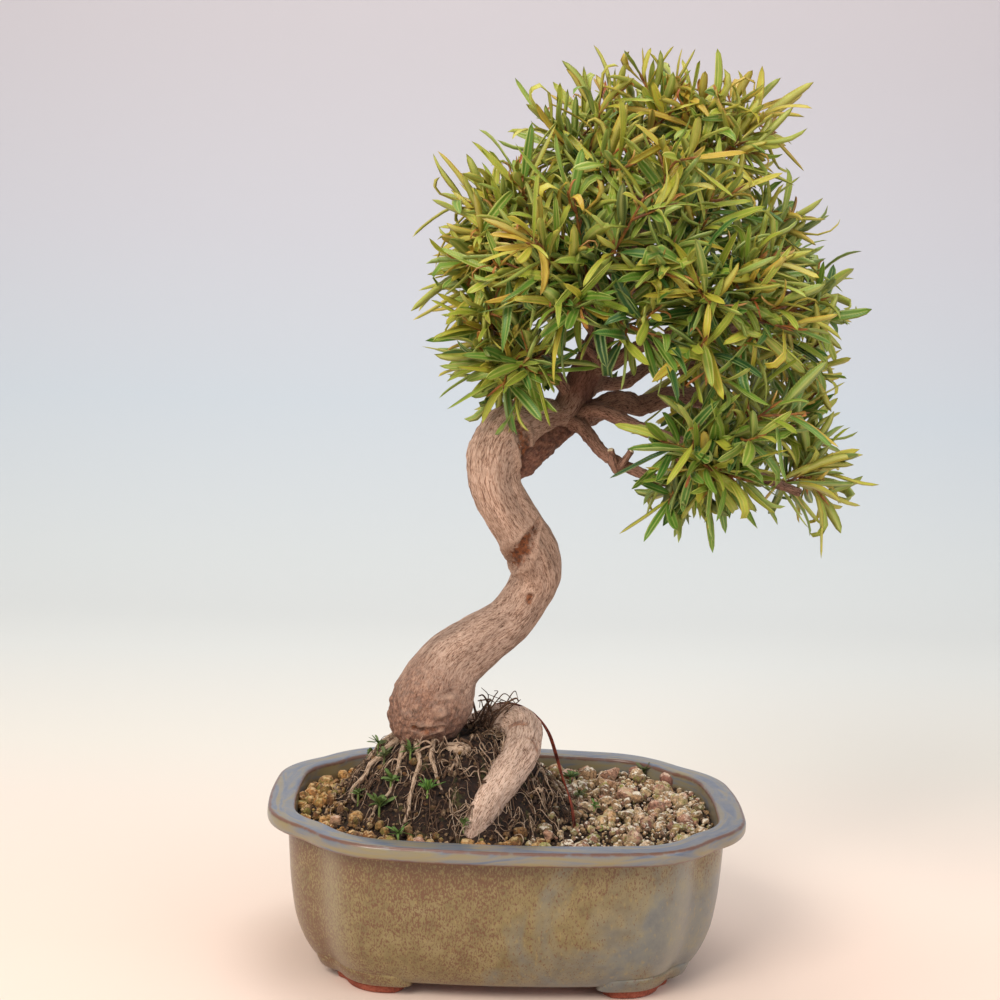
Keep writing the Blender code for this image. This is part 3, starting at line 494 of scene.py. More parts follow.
def make_pot_body(finish):
    """The profile carried round the outline: a point of it gives the inset for every angle and the height.
    Low waves of noise keep the wall from being perfectly even."""
    profile = smooth_path(POT_PROFILE, 104)
    turn = np.linspace(0, 2 * np.pi, 320, endpoint=False)
    radius = outline(profile[:, :1], turn[None])
    points = np.stack([radius * np.cos(turn), radius * np.sin(turn),
                       np.repeat(profile[:, 1:], len(turn), 1)], -1).reshape(-1, 3)
    sway = noise(points, 34.0, 3)[:, None] * 0.35 + noise(points, 9.0, 5)[:, None] * 0.05
    points = points + np.column_stack([points[:, :2] / np.linalg.norm(points[:, :2], axis=1)[:, None],
                                       np.zeros(len(points))]) * sway
    faces = grid_faces(len(profile), len(turn))
    rim = np.interp(profile[:, 1], [74.0, 75.4], [0, 1])
    lips = [(1.2, 75.5, 1.6), (1.0, 81.7, 1.3), (13.7, 80.8, 1.3), (9.6, 73.6, 1.6)]
    edge = sum(np.exp(-((profile[:, 0] - x) ** 2 + (profile[:, 1] - z) ** 2) / spread)
               for x, z, spread in lips)
    plan = outline(np.array([RIM_MIDDLE]), turn) * np.array([np.cos(turn), np.sin(turn)])
    rim_line = np.concatenate([[0], np.cumsum(np.hypot(*np.diff(plan)))])
    flow = np.stack(np.broadcast_arrays(rim_line[None] * 0.2, profile[:, :1], profile[:, 1:]), -1)
    from_side = np.abs(np.abs(np.abs(turn) - np.pi) - np.pi / 2)
    notch = np.exp(-((from_side - (np.pi / 2 - FOOT_DIRECTION)) / 0.07) ** 2)
    notch = np.repeat(notch[None], len(profile), 0)
    return put_mesh("pot_body", points, faces, finish, "glaze", rim=np.repeat(rim, len(turn)),
                    edge=np.repeat(edge, len(turn)), flow=flow.reshape(-1, 3), notch=notch.ravel())


def make_pot_floor(finish):
    """Underside and inside floor: rings drawn in to the middle, left open over the drain holes."""
    parts = []
    turn = np.linspace(0, 2 * np.pi, 160, endpoint=False)
    for z, inset, flip in ((UNDERSIDE_Z, UNDERSIDE_INSET, True), (FLOOR_Z + 1.0, FLOOR_INSET, False)):
        outer = outline(inset, turn)
        middle = np.stack([outer * np.cos(turn), outer * np.sin(turn)], -1)
        rings = []
        for share in np.linspace(1, 0.02, 24):
            plan = middle * share
            rings.append(np.column_stack([plan, np.full(len(plan), z)]))
        points = np.concatenate(rings)
        quads = grid_faces(len(rings), len(turn))
        parts.append((points, to_triangles(quads[:, ::-1] if flip else quads)))
    points, faces = join(parts)
    middle = points[faces].mean(1)[:, :2]
    clear = np.ones(len(faces), bool)
    for x in (-DRAIN_HOLE_X, DRAIN_HOLE_X):
        clear &= np.hypot(middle[:, 0] - x, middle[:, 1]) > DRAIN_HOLE_RADIUS
    return put_mesh("pot_floor", points, faces[clear], finish, "glaze", smooth=False)


def corner_bar(section, middle, half_angle):
    """A section of (inset, height) carried along a stretch of the outline and pinched at both ends."""
    section = np.array(section)
    spread = np.linspace(-1, 1, 36)
    turn = middle + half_angle * spread
    pinch = np.sqrt(np.clip(1 - np.abs(spread) ** 8, 0, 1))[:, None] * 0.7 + 0.3
    centre = section.mean(0)
    inset = centre[0] + (section[:, 0][None] - centre[0]) * pinch
    height = np.where(section[:, 1] < centre[1], section[:, 1] + (1 - pinch) * 1.2, section[:, 1])
    radius = outline(inset, turn[:, None])
    points = np.stack([radius * np.cos(turn)[:, None], radius * np.sin(turn)[:, None], height], -1)
    return close_ends(points.reshape(-1, 3), grid_faces(len(spread), len(section)), len(spread), len(section))


def make_feet(clay, glaze):
    """Four corner feet of bare clay that narrow downwards, each under a wider glazed rail."""
    foot = [(37.0, 8.0), (27.6, 8.0), (27.9, 6.0), (28.8, 1.3), (29.3, 0.4), (30.2, 0.0), (37.0, 0.0),
            (37.8, 0.5), (37.5, 4.0)]
    rail = [(30.0, 12.0), (22.7, 12.8), (22.2, 11.4), (23.2, 9.0), (25.0, 6.0), (26.0, 4.9), (27.2, 4.6),
            (32.4, 4.6), (32.9, 5.4), (31.4, 9.0)]
    made = []
    for name, section, half_angle, finish in (("pot_feet", foot, FOOT_HALF_ANGLE, clay),
                                              ("pot_rails", rail, RAIL_HALF_ANGLE, glaze)):
        corners = (FOOT_DIRECTION, np.pi - FOOT_DIRECTION, np.pi + FOOT_DIRECTION, -FOOT_DIRECTION)
        points, faces = join([corner_bar(section, corner, half_angle) for corner in corners])
        made.append(put_mesh(name, points, faces, finish, "glaze"))
    return made


# The soil

def ground(x, y):
    """Height of the soil before its grains: level, low waves and the root-ball mound."""
    away = ((x - MOUND_CENTRE[0]) / MOUND_REACH[0]) ** 2 + ((y - MOUND_CENTRE[1]) / MOUND_REACH[1]) ** 2
    waves = 1.2 * np.sin(x / 17.0 + 0.6) * np.cos(y / 14.0)
    return SOIL_LEVEL + waves + MOUND_HEIGHT * np.exp(-away ** MOUND_STEEPNESS)


def peat_share(x, y):
    """How much of the ground is dark root ball, from 0 to 1: an ellipse with a ragged soft edge."""
    away = np.hypot((x - PEAT_CENTRE[0]) / PEAT_REACH[0], (y - PEAT_CENTRE[1]) / PEAT_REACH[1])
    ragged = 0.16 * noise(np.stack(np.broadcast_arrays(x, y, 0.0), -1), 13.0, 41)
    return np.clip((1.1 - away + ragged) / 0.3, 0, 1)


def lumps(x, y):
    """The root ball's own relief above the plain ground: two sizes of noise, on the mound only."""
    flat = np.stack(np.broadcast_arrays(x, y, 0.0), -1)
    return peat_share(x, y) * (noise(flat, 5.0, 13) * 1.5 + noise(flat, 13.0, 14) * 2.2)


def make_soil_bed(finish):
    """Rings of the pot's inner edge drawn in to the middle, lifted by the ground and fine noise."""
    turn = np.linspace(0, 2 * np.pi, 300, endpoint=False)
    edge = outline(inner_wall_inset(SOIL_LEVEL) + 0.6, turn)
    share = np.linspace(1, 0.0, 92)[:, None]
    x = edge * np.cos(turn) * share
    y = edge * np.sin(turn) * share
    flat = np.stack([x, y, np.zeros_like(x)], -1)
    z = ground(x, y) - 1.2 + noise(flat, 3.0, 11) * 0.9 + noise(flat, 7.0, 12) * 0.7 + lumps(x, y)
    skirt = np.stack([x[:1], y[:1], np.full_like(x[:1], SOIL_LEVEL - 16.0)], -1)
    points = np.concatenate([skirt, np.stack([x, y, z], -1)]).reshape(-1, 3)
    dark = np.concatenate([np.zeros(len(turn)), peat_share(x, y).ravel()])
    return put_mesh("soil_bed", points, grid_faces(len(share) + 1, len(turn)), finish, "soil", dark=dark)


def ball(longs, lats):
    """Points and triangles of a unit ball: latitude rings between two poles."""
    lat = np.linspace(-np.pi / 2, np.pi / 2, lats + 2)[1:-1]
    lon = np.linspace(0, 2 * np.pi, longs, endpoint=False)
    rings = np.stack([np.cos(lat)[:, None] * np.cos(lon), np.cos(lat)[:, None] * np.sin(lon),
                      np.repeat(np.sin(lat)[:, None], longs, 1)], -1).reshape(-1, 3)
    points = np.vstack([rings, (0, 0, -1), (0, 0, 1)])
    i = np.arange(longs)
    j = (i + 1) % longs
    low, high = len(rings), len(rings) + 1
    top = (lats - 1) * longs
    faces = np.vstack([to_triangles(grid_faces(lats, longs)), np.stack([j, i, np.full(longs, low)], -1),
                       np.stack([top + i, top + j, np.full(longs, high)], -1)])
    return points, faces


def turned(vectors, draw, count):
    """Random rotations as matrices made from unit quaternions."""
    q = draw.normal(size=(count, 4))
    w, x, y, z = normalised(q).T
    spin = np.array([[1 - 2 * (y * y + z * z), 2 * (x * y - z * w), 2 * (x * z + y * w)],
                     [2 * (x * y + z * w), 1 - 2 * (x * x + z * z), 2 * (y * z - x * w)],
                     [2 * (x * z - y * w), 2 * (y * z + x * w), 1 - 2 * (x * x + y * y)]])
    return np.einsum("ijn,nvj->nvi", spin, vectors)


def pebbles(places, sizes, longs, lats, draw, swell=0.12):
    """Broken grains: a unit ball cut off by random planes, roughened, stretched, turned and set in place."""
    unit, faces = ball(longs, lats)
    count = len(places)
    normals = normalised(draw.normal(size=(count, GRAIN_CUTS, 3)))
    lean = np.maximum(np.einsum("vj,ncj->nvc", unit, normals), 1e-3)
    reach = np.minimum((draw.uniform(0.5, 1.0, (count, 1, GRAIN_CUTS)) / lean).min(2), 1.0)
    offset = draw.uniform(0, 400, (count, 1, 3))
    reach = reach * (1 + swell * noise(unit[None] + offset, 0.8, 21))
    stretch = draw.uniform(0.72, 1.15, (count, 1, 3))
    shapes = turned(unit[None] * reach[..., None] * stretch, draw, count)
    points = shapes * sizes[:, None, None] + places[:, None]
    all_faces = faces[None] + (np.arange(count) * len(unit))[:, None, None]
    return points.reshape(-1, 3), all_faces.reshape(-1, 3)


def clear_of_wood(x, y, spare):
    """True where the ground isn't under the trunk's base or the arched root."""
    keep = np.ones(x.shape, bool)
    solid = np.vstack([smooth_path(TRUNK[:4], 12), smooth_path(ARCH_ROOT, 30)])
    for cx, cy, cz, radius in solid:
        if cz - radius < ground(cx, cy) + 3:
            keep &= np.hypot(x - cx, y - cy) > radius + spare
    return keep


def scatter(pitch, draw, wander=0.42):
    """Places on a jittered honeycomb inside the soil's edge."""
    rows = np.arange(-100, 100, pitch * 0.866)
    x, y = np.meshgrid(np.arange(-125, 125, pitch), rows)
    x = x + (np.arange(len(rows)) % 2)[:, None] * pitch / 2
    x = (x + draw.uniform(-wander, wander, x.shape) * pitch).ravel()
    y = (y + draw.uniform(-wander, wander, y.shape) * pitch).ravel()
    inside = pot_distance(x, y) < -(inner_wall_inset(SOIL_LEVEL) + pitch * 0.35)
    return x[inside], y[inside]


def put_grains(name, chosen, x, y, z, size, shape, draw, finish):
    """One piece of loose grains, each with its own tone and its own share of lichen."""
    x, y, z, size = x[chosen], y[chosen], z[chosen], size[chosen]
    points, faces = pebbles(np.column_stack([x, y, z]), size, *shape, draw)
    per = len(points) // len(x)
    tone = np.repeat(draw.uniform(0, 1, len(x)), per)
    lichen = np.repeat(draw.uniform(0, 1, len(x)) ** 2, per)
    return put_mesh(name, points, faces, finish, "soil", smooth=False, tone=tone, lichen=lichen,
                    dark=np.repeat(peat_share(x, y), per))


def make_grains(ochre, pumice, crumb, stone):
    """Loose grains in three sizes: ochre clay grains left, pale pumice right, dark crumbs between."""
    draw = np.random.RandomState(SEED + 3)
    for layer, pitch, low, high, shape, spare in (("large", 6.6, 2.0, 4.8, (10, 6), 0.97),
                                                  ("small", 3.7, 0.7, 2.1, (7, 3), 0.85)):
        x, y = scatter(pitch, draw)
        keep = clear_of_wood(x, y, 1.0) & (peat_share(x, y) * spare < draw.uniform(0, 1, len(x)))
        keep &= draw.uniform(0, 1, len(x)) < 0.80
        x, y = x[keep], y[keep]
        size = low + (high - low) * draw.uniform(0, 1, len(x)) ** 1.9
        z = ground(x, y) + size * draw.uniform(-0.1, 0.6, len(x))
        pale = x + 7 * draw.normal(size=len(x)) > 12
        put_grains("ochre_grains_" + layer, ~pale, x, y, z, size, shape, draw, ochre)
        put_grains("pumice_grains_" + layer, pale, x, y, z, size, shape, draw, pumice)
    x, y = scatter(2.3, draw, 0.48)
    keep = clear_of_wood(x, y, 0.4) & (draw.uniform(0, 1, len(x)) < 0.45 + 0.55 * peat_share(x, y))
    x, y = x[keep], y[keep]
    size = 0.35 + 1.5 * draw.uniform(0, 1, len(x)) ** 2.2
    z = ground(x, y) + lumps(x, y) + size * 0.2 - 0.6
    put_grains("soil_crumbs", np.ones(len(x), bool), x, y, z, size, (5, 2), draw, crumb)
    x, y, size = np.array(STONES).T
    z = ground(x, y) + size * 0.35
    put_grains("loose_stones", np.ones(len(x), bool), x, y, z, size, (16, 9), draw, stone)


# The tree

def root_path(angle, length, radius, index):
    """A surface root: out from the trunk's base along the mound, wandering, then down into the soil."""
    draw = np.random.RandomState(SEED + 100 + index)
    sway = draw.uniform(-0.25, 0.25)
    rows = []
    for t in np.linspace(0, 1, 7):
        heading = np.radians(angle) + sway * np.sin(3.0 * t)
        reach = ROOT_START + length * t
        x = ROOT_HUB[0] + reach * np.cos(heading)
        y = ROOT_HUB[1] + reach * np.sin(heading)
        sink = 0.55 * radius - 6.5 * max(t - 0.8, 0) / 0.2
        rows.append((x, y, ground(x, y) + sink, radius * (1.15 - 0.6 * t)))
    return rows


def limb_samples():
    """Points along the limbs and the upper trunk from which branches may leave."""
    samples = [smooth_path(rows, 16)[5:-1] for name, rows in LIMBS.items() if name != "cut_stub"]
    samples.append(smooth_path(TRUNK[17:], 24)[4:-1])
    return np.vstack(samples)


def spray_line(tip, samples, shift):
    """A branch from the best limb point and the twig beyond it, as base, bend and tip points."""
    tip = np.asarray(tip, float) + shift
    offset = tip - samples[:, :3]
    reach = np.linalg.norm(offset, axis=1)
    outward = normalised(tip - LIMB_HEART)
    lean = (offset @ outward) / reach
    start = samples[np.argmin(reach * (1.8 - lean) + np.where(reach < 22, 60, 0))]
    reach = np.linalg.norm(tip - start[:3])
    split = max(1 - TWIG_LENGTH / reach, (start[3] + BRANCH_REACH) / reach)
    sag = np.array([0, 0, 0.10 * reach])
    curve = smooth_path([start[:3], start[:3] + (tip - start[:3]) * 0.5 - 0.5 * sag, tip], 41)
    cut = int(round(split * 40))
    return start, curve[:cut + 1], curve[cut:]


def room_between(points, cloud):
    """The least distance from points to the skins of a cloud of balls (x, y, z, radius)."""
    apart = np.linalg.norm(points[:, None] - cloud[None, :, :3], axis=2)
    return float((apart - cloud[None, :, 3]).min())


def plan_sprays():
    """For every twig tip, the branch that reaches it, nudged until twigs stay clear of each other."""
    samples = limb_samples()
    cloud = np.vstack([smooth_path(rows, 60) for rows in [TRUNK, *LIMBS.values()]])
    draw = np.random.RandomState(SEED + 7)
    lines = []
    for tip in SPRAY_TIPS:
        best = None
        for attempt in range(30):
            shift = draw.uniform(-1, 1, 3) * 0.5 * attempt
            start, branch, twig = spray_line(tip, samples, shift)
            room = room_between(twig[1:], cloud)
            if best is None or room > best[0]:
                best = (room, (start, branch, twig))
            if room > TWIG_ROOM:
                break
        start, branch, twig = best[1]
        taken = np.vstack([branch, twig])
        cloud = np.vstack([cloud, np.column_stack([taken, np.full(len(taken), TWIG_RADIUS)])])
        lines.append(best[1])
    return lines


def mark_strength(points):
    """How much of a trunk mark shows at each point, from 1 in its rusty middle to -1 on the pale lip round
    it, and how far it changes the radius."""
    shown = np.zeros(points.shape[:-1])
    change = np.zeros(points.shape[:-1])
    for rows, deep, rust in TRUNK_MARKS:
        rows = np.array(rows, float)
        away = np.full(points.shape[:-1], np.inf)
        for start, end in zip(rows[:-1], rows[1:]):
            way = (end - start)[:3]
            t = np.clip((points - start[:3]) @ way / (way @ way), 0, 1)
            half = start[3] + t * (end[3] - start[3])
            away = np.minimum(away, np.linalg.norm(points - start[:3] - t[..., None] * way, axis=-1) / half)
        away = away + 0.30 * noise(points, 2.6, 31) + 0.15 * noise(points, 1.1, 32)
        here = np.clip((1.35 - away) / 0.7, 0, 1)
        here = here * here * (3 - 2 * here)
        lip = np.exp(-((away - 1.7) / 0.35) ** 2)
        shown = shown + here * rust - lip * 0.7
        change = change + lip * deep * 0.4 - here * deep * (1 + 0.5 * noise(points, 1.8, 33))
    for place, radius, height in TRUNK_KNOBS:
        away = np.linalg.norm(points - np.array(place), axis=-1) / radius
        shown = shown - np.exp(-away ** 3) * 0.8
        change = change + height * np.exp(-away ** 2.5) - 0.5 * np.exp(-((away - 1.25) / 0.3) ** 2)
    return shown, change


def trunk_relief(points, turn, along, wide):
    """Change of the trunk's radius: long flutes, lumps, a rough base, seams between strands and marks."""
    flutes = 0.030 * np.cos(3 * turn + along * 0.045) + 0.018 * np.cos(5 * turn - along * 0.02)
    soft = 0.45 * noise(points, 15.0, 1) + 0.30 * noise(points, 6.0, 2)
    stretched = np.stack([np.cos(turn) * wide, np.sin(turn) * wide, along * 0.14 + 0 * wide], -1)
    strands = 0.30 * noise(stretched, 2.2, 4) - 0.40 * np.abs(noise(stretched, 1.5, 6))
    base = np.clip((60 - along) / 34, 0, 1)
    crust = base * (1.4 * np.abs(noise(points, 4.2, 8)) + 0.9 * noise(points, 2.1, 9) - 0.4)
    elbow = np.exp(-((along - 205) / 22) ** 2) * 0.7 * noise(points, 3.0, 10)
    small = np.clip(wide / 12.0, 0.15, 1)
    _, change = mark_strength(points)
    return wide * flutes + small * (soft + strands + crust + elbow) + change


def root_relief(points, turn, along, wide):
    """The arched root: cross wrinkles 5 mm apart, soft lumps and long dark seams."""
    wrinkles = np.stack([points[..., 0] * 0.25, points[..., 1] * 0.25, along + 0 * wide], -1)
    stretched = np.stack([np.cos(turn) * wide, np.sin(turn) * wide, along * 0.14 + 0 * wide], -1)
    seams = -0.8 * np.clip(noise(stretched, 2.4, 22), 0, 1) + 0.25 * noise(stretched, 1.2, 23)
    soft = 0.8 * noise(points, 11.0, 16) + 0.45 * noise(wrinkles, 4.0, 15)
    return soft + 0.25 * noise(points, 2.6, 17) + seams


def limb_relief(points, turn, along, wide):
    """A collar where the limb leaves its parent, knots, and rings where leaves once stood."""
    collar = 0.30 * np.exp(-along / 6.0)
    knots = 0.11 * noise(points, 4.5, 18) + 0.10 * noise(points, 1.8, 19)
    rings = 0.06 * np.clip(np.sin(along * 1.6 + 2.0 * noise(points, 9.0, 20)), 0, 1) ** 3
    return wide * (collar + knots + rings)


def burr_relief(points, turn, along, wide):
    """Rough scaly growth: three sizes of noise, the coarsest folded into ridges."""
    ridges = 0.9 * np.abs(noise(points, 4.5, 24)) - 0.8
    return ridges + 0.6 * noise(points, 2.2, 25) + 0.35 * noise(points, 1.1, 26)


def make_trunk(finish):
    """The trunk: rough and reddish on its base, darker above the upper bend."""
    points, faces, grain, along = closed_tube(TRUNK, TRUNK_SIDES, TRUNK_RINGS, trunk_relief)
    mark, _ = mark_strength(points)
    base = np.clip((64 - along + 9 * noise(points, 9.0, 34)) / 30, 0, 1)
    shade = np.clip((along - 232 + 14 * noise(points, 8.0, 35)) / 30, 0, 1)
    return put_mesh("trunk", points, faces, finish, "bark", grain=grain, mark=mark, base=base, shade=shade)


def make_burr(finish):
    points, faces, grain, _ = closed_tube(BEND_BURR, 40, 60, burr_relief)
    full = np.ones(len(points))
    return put_mesh("bend_burr", points, faces, finish, "bark", grain=grain, base=full, shade=full * 0.7)


def make_arch_root(finish):
    points, faces, grain, along = closed_tube(ARCH_ROOT, 60, 180, root_relief)
    low = np.clip((along - 118) / 30, 0, 1) * 0.5
    across = np.column_stack([points[:, :2] * 0.22, along])
    cracks = np.clip(1 - np.abs(noise(across, 5.0, 36)) / 0.12, 0, 1)
    cracks = cracks * np.clip(noise(points, 8.0, 37) * 3, 0, 1)
    return put_mesh("arch_root", points, faces, finish, "bark", grain=grain, shade=low, mark=cracks * 0.8,
                    base=np.clip((22 - along) / 20, 0, 1) * 0.8)


def make_limbs(lines, finish, cut_finish):
    """Limbs, the branches on them and short sawn snags, and a pale disc on every saw cut."""
    parts = [closed_tube(rows, 16, 64, limb_relief) for rows in LIMBS.values()]
    parts += [closed_tube(rows, 10, 20, limb_relief) for rows in SNAGS]
    for start, branch, _ in lines:
        thick = np.linspace(min(start[3] * 0.62, 2.1), TWIG_RADIUS + 0.1, len(branch))
        parts.append(closed_tube(np.column_stack([branch, thick]), 8, 22, limb_relief))
    limbs = put_wood("limbs", parts, finish)
    discs = []
    for rows in [LIMBS["right_stub"], LIMBS["cut_stub"], *SNAGS]:
        end, before = np.array(rows[-1], float), np.array(rows[-2], float)
        way = normalised((end - before)[:3])
        width = end[3] * 0.86
        disc = [(*(end[:3] + way * reach), width * share)
                for reach, share in ((-1.0, 1.0), (0.5, 1.0), (0.62, 0.5))]
        discs.append(closed_tube(disc, 20, 7))
    points, faces, _, _ = join(discs)
    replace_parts(put_mesh("saw_cuts", points, faces, cut_finish, "bark"), "tree_wood")
    return limbs


def make_surface_roots(tan, brown):
    """The eight main surface roots, and a tangle of fine ones that wander over the mound, rise and dive."""
    parts = []
    for k, row in enumerate(SURFACE_ROOTS):
        rows = smooth_path(root_path(*row, k), 20)
        for axis, reach in enumerate((2.0, 2.0, 0.9)):
            rows[:, axis] += reach * noise(rows[:, :3], 7.0, 50 + axis)
        parts.append(closed_tube(rows, 10, 60, limb_relief))
    parts.append(closed_tube(ROOT_STUB, 14, 24, root_relief))
    draw = np.random.RandomState(SEED + 17)
    fine = {"tan_rootlets": [], "brown_rootlets": []}
    for k in range(ROOTLETS):
        angle = draw.uniform(0, 2 * np.pi)
        reach = draw.uniform(0.1, 1.0) ** 0.6
        x = PEAT_CENTRE[0] + PEAT_REACH[0] * 0.95 * reach * np.cos(angle)
        y = PEAT_CENTRE[1] + PEAT_REACH[1] * 0.95 * reach * np.sin(angle)
        heading = angle + draw.normal() * 1.3
        radius = draw.choice([0.18, 0.26, 0.40, 0.70], p=[0.42, 0.34, 0.18, 0.06])
        steps = draw.randint(4, 10)
        stride = draw.uniform(1.8, 4.2)
        rows = []
        for step in range(steps):
            rise = -1.5 if step in (0, steps - 1) else draw.uniform(0.0, 4.2)
            level = float(ground(x, y) + lumps(np.array(x), np.array(y))) + rise
            rows.append((x, y, level, radius * (1 - 0.5 * step / steps)))
            heading += draw.normal() * 1.0
            x += stride * np.cos(heading)
            y += stride * np.sin(heading)
        if pot_distance(np.array(x), np.array(y)) < -18:
            fine["tan_rootlets" if k % 2 else "brown_rootlets"].append(closed_tube(rows, 5, 18))
    return [put_wood("surface_roots", parts, tan), put_wood("tan_rootlets", fine["tan_rootlets"], tan),
            put_wood("brown_rootlets", fine["brown_rootlets"], brown)]


def make_root_hairs(finish):
    """A tuft of dry brown roots that stands up behind the arch: bent tubes, curled at the top."""
    draw = np.random.RandomState(SEED + 19)
    parts = []
    for k in range(ROOT_HAIRS):
        x = HAIR_PLACE[0] + draw.normal() * 3.2
        y = HAIR_PLACE[1] + draw.normal() * 4.0
        low = float(ground(x, y)) - 3.0
        tall = draw.uniform(14, 27) if k < 16 else draw.uniform(6, 13)
        lean = np.array([draw.uniform(-0.45, 0.75), draw.uniform(-0.4, 0.3)]) * tall
        curl = draw.normal(size=3) * (4.0, 3.0, 2.5)
        thick = 0.75 if k < 4 else 0.42
        rows = [(x, y, low, thick), (x + lean[0] * 0.25, y + lean[1] * 0.3, low + tall * 0.45, thick * 0.9),
                (x + lean[0] * 0.7, y + lean[1] * 0.8, low + tall * 0.85, thick * 0.75),
                (x + lean[0], y + lean[1], low + tall, thick * 0.6),
                (x + lean[0] + curl[0], y + lean[1] + curl[1], low + tall * 0.95 + curl[2], thick * 0.4)]
        parts.append(closed_tube(rows, 6, 18))
    return put_wood("root_hairs", parts, finish)


# The leaves

def leaf_section():
    """Across a leaf: offsets in half widths, and how much each is lifted or sunk, in thicknesses."""
    across = np.array([-1.0, -0.5, 0.0, 0.5, 1.0, 0.0])
    lift = np.array([0.0, 0.55, -0.1, 0.55, 0.0, -1.0])
    under = np.array([0.0, 0.0, 0.0, 0.0, 0.0, 1.0])
    return across, lift, under


def leaf_width(v):
    """Half width along a leaf: a stalk, then sin(pi b)^0.45 along the blade b, so it is a blunt strap."""
    blade = np.clip((v - 0.08) / 0.92, 0, 1)
    return np.maximum(np.abs(np.sin(np.pi * blade)) ** 0.45, 0.14 * (1 - v) + 0.03)


def leaf_mesh(roots, headings, ups, lengths, widths, bends, folds, thick):
    """All leaves of a spray at once. The midrib's direction is the heading turned down by pitch v and
    curl (2v - 1)^2 past the middle, and aside by yaw v; a folded section is carried along it, turned by
    twist v."""
    pitch, curl, yaw, twist = bends
    across, lift, under = leaf_section()
    step = np.linspace(0, 1, LEAF_STATIONS)
    v = step - 0.06 * np.sin(2 * np.pi * step)
    flat = normalised(np.cross(headings, ups))
    over = np.cross(flat, headings)
    down = (pitch[:, None] * v + curl[:, None] * np.maximum(2 * v - 1, 0) ** 2)[..., None]
    aside = (yaw[:, None] * v)[..., None]
    ahead = headings[:, None] * np.cos(aside) + flat[:, None] * np.sin(aside)
    ahead = ahead * np.cos(down) - over[:, None] * np.sin(down)
    wide = flat[:, None] * np.cos(aside) - headings[:, None] * np.sin(aside)
    high = np.cross(wide, ahead)
    roll = (twist[:, None] * v)[..., None]
    wide, high = wide * np.cos(roll) + high * np.sin(roll), high * np.cos(roll) - wide * np.sin(roll)
    spine = roots[:, None] + np.cumsum(ahead * (lengths[:, None] * np.diff(v, prepend=0))[..., None], 1)
    half = widths[:, None] / 2 * leaf_width(v)[None]
    wave = 0.10 * np.sin(v[None] * 9.0 + lengths[:, None]) * half
    side = half[..., None] * across
    rise = np.abs(side) * np.sin(folds)[:, None, None] + wave[..., None] * across
    rise = rise + thick * lift * np.minimum(1, half / 1.2)[..., None]
    side = side * np.cos(folds)[:, None, None]
    points = spine[:, :, None] + wide[:, :, None] * side[..., None] + high[:, :, None] * rise[..., None]
    count, ring = len(roots), len(across)
    quads = grid_faces(LEAF_STATIONS, ring)
    last = (LEAF_STATIONS - 1) * ring
    ends = np.array([(5, 3, 4), (5, 2, 3), (5, 1, 2), (5, 0, 1)])
    faces = np.vstack([to_triangles(quads), ends, ends[:, [0, 2, 1]] + last])
    faces = faces[None] + (np.arange(count) * LEAF_STATIONS * ring)[:, None, None]
    u = np.broadcast_to(np.abs(across), (count, LEAF_STATIONS, ring))
    w = np.broadcast_to(v[None, :, None], (count, LEAF_STATIONS, ring))
    below = np.broadcast_to(under, (count, LEAF_STATIONS, ring))
    return points.reshape(-1, 3), faces.reshape(-1, 3), u.ravel(), w.ravel(), below.ravel()


def headings_on(line, t, turn, open_angle):
    """For many leaves at once: where on the twig each starts and the way it points."""
    place = t * (len(line) - 1)
    k = np.minimum(place.astype(int), len(line) - 2)
    step = line[k + 1] - line[k]
    roots = line[k] + step * (place - k)[:, None]
    along = normalised(step)
    side = np.cross(along, (0.0, 0.0, 1.0))
    side /= np.maximum(np.linalg.norm(side, axis=1), 1e-6)[:, None]
    up = np.cross(side, along)
    radial = side * np.cos(turn)[:, None] + up * np.sin(turn)[:, None]
    heading = along * np.cos(open_angle)[:, None] + radial * np.sin(open_angle)[:, None]
    return roots, normalised(heading), along


def side_twigs(line, draw):
    """The short side twigs of a spray, as point rows."""
    made = []
    for k in range(SIDE_TWIGS):
        t = 0.06 + 0.76 * k / (SIDE_TWIGS - 1)
        root, heading, _ = headings_on(line, np.array([t]), np.array([LEAF_SPIRAL * k + draw.uniform(0, 1)]),
                                       np.array([draw.uniform(0.7, 1.15)]))
        reach = draw.uniform(9, 19)
        bend = draw.normal(size=3) * 1.4
        made.append(smooth_path([root[0], root[0] + heading[0] * reach * 0.5 + bend,
                                 root[0] + heading[0] * reach + (0, 0, 1.5)], 9))
    return made


def leaf_ages(roots, t, draw):
    """From 0 for a bronze new leaf to 1 for an old dark one: younger to the top, the left and the outside."""
    count = len(t)
    height = np.clip((roots[:, 2] - 250) / 170, 0, 1)
    left = np.clip((25 - roots[:, 0]) / 60, 0, 1)
    outer = np.linalg.norm((roots - CROWN_HEART) / (95, 75, 110), axis=1)
    age = 0.68 - 0.24 * height - 0.12 * left + 0.55 * (0.8 - outer) + 0.18 * draw.normal(size=count)
    new = (t > 0.9) & (draw.uniform(size=count) < 0.30 + 0.45 * height)
    return np.where(new, draw.uniform(0.0, 0.08, count), np.clip(age, 0.16, 1.0))


def kept_in_box(points, roots):
    """Leaves as (leaf, point) arrays, each shrunk about its root until it stays by the solids' box."""
    low, high = ((np.array(corner) - POT_PLACE) / MM for corner in CAD_BOX)
    out = points - roots[:, None]
    room = np.where(out > 0, (high + LEAF_SPARE - roots)[:, None], (roots - low + LEAF_SPARE)[:, None])
    share = np.clip((room / np.maximum(np.abs(out), 1e-6)).min((1, 2)), 0.35, 1.0)
    return roots[:, None] + out * share[:, None, None]


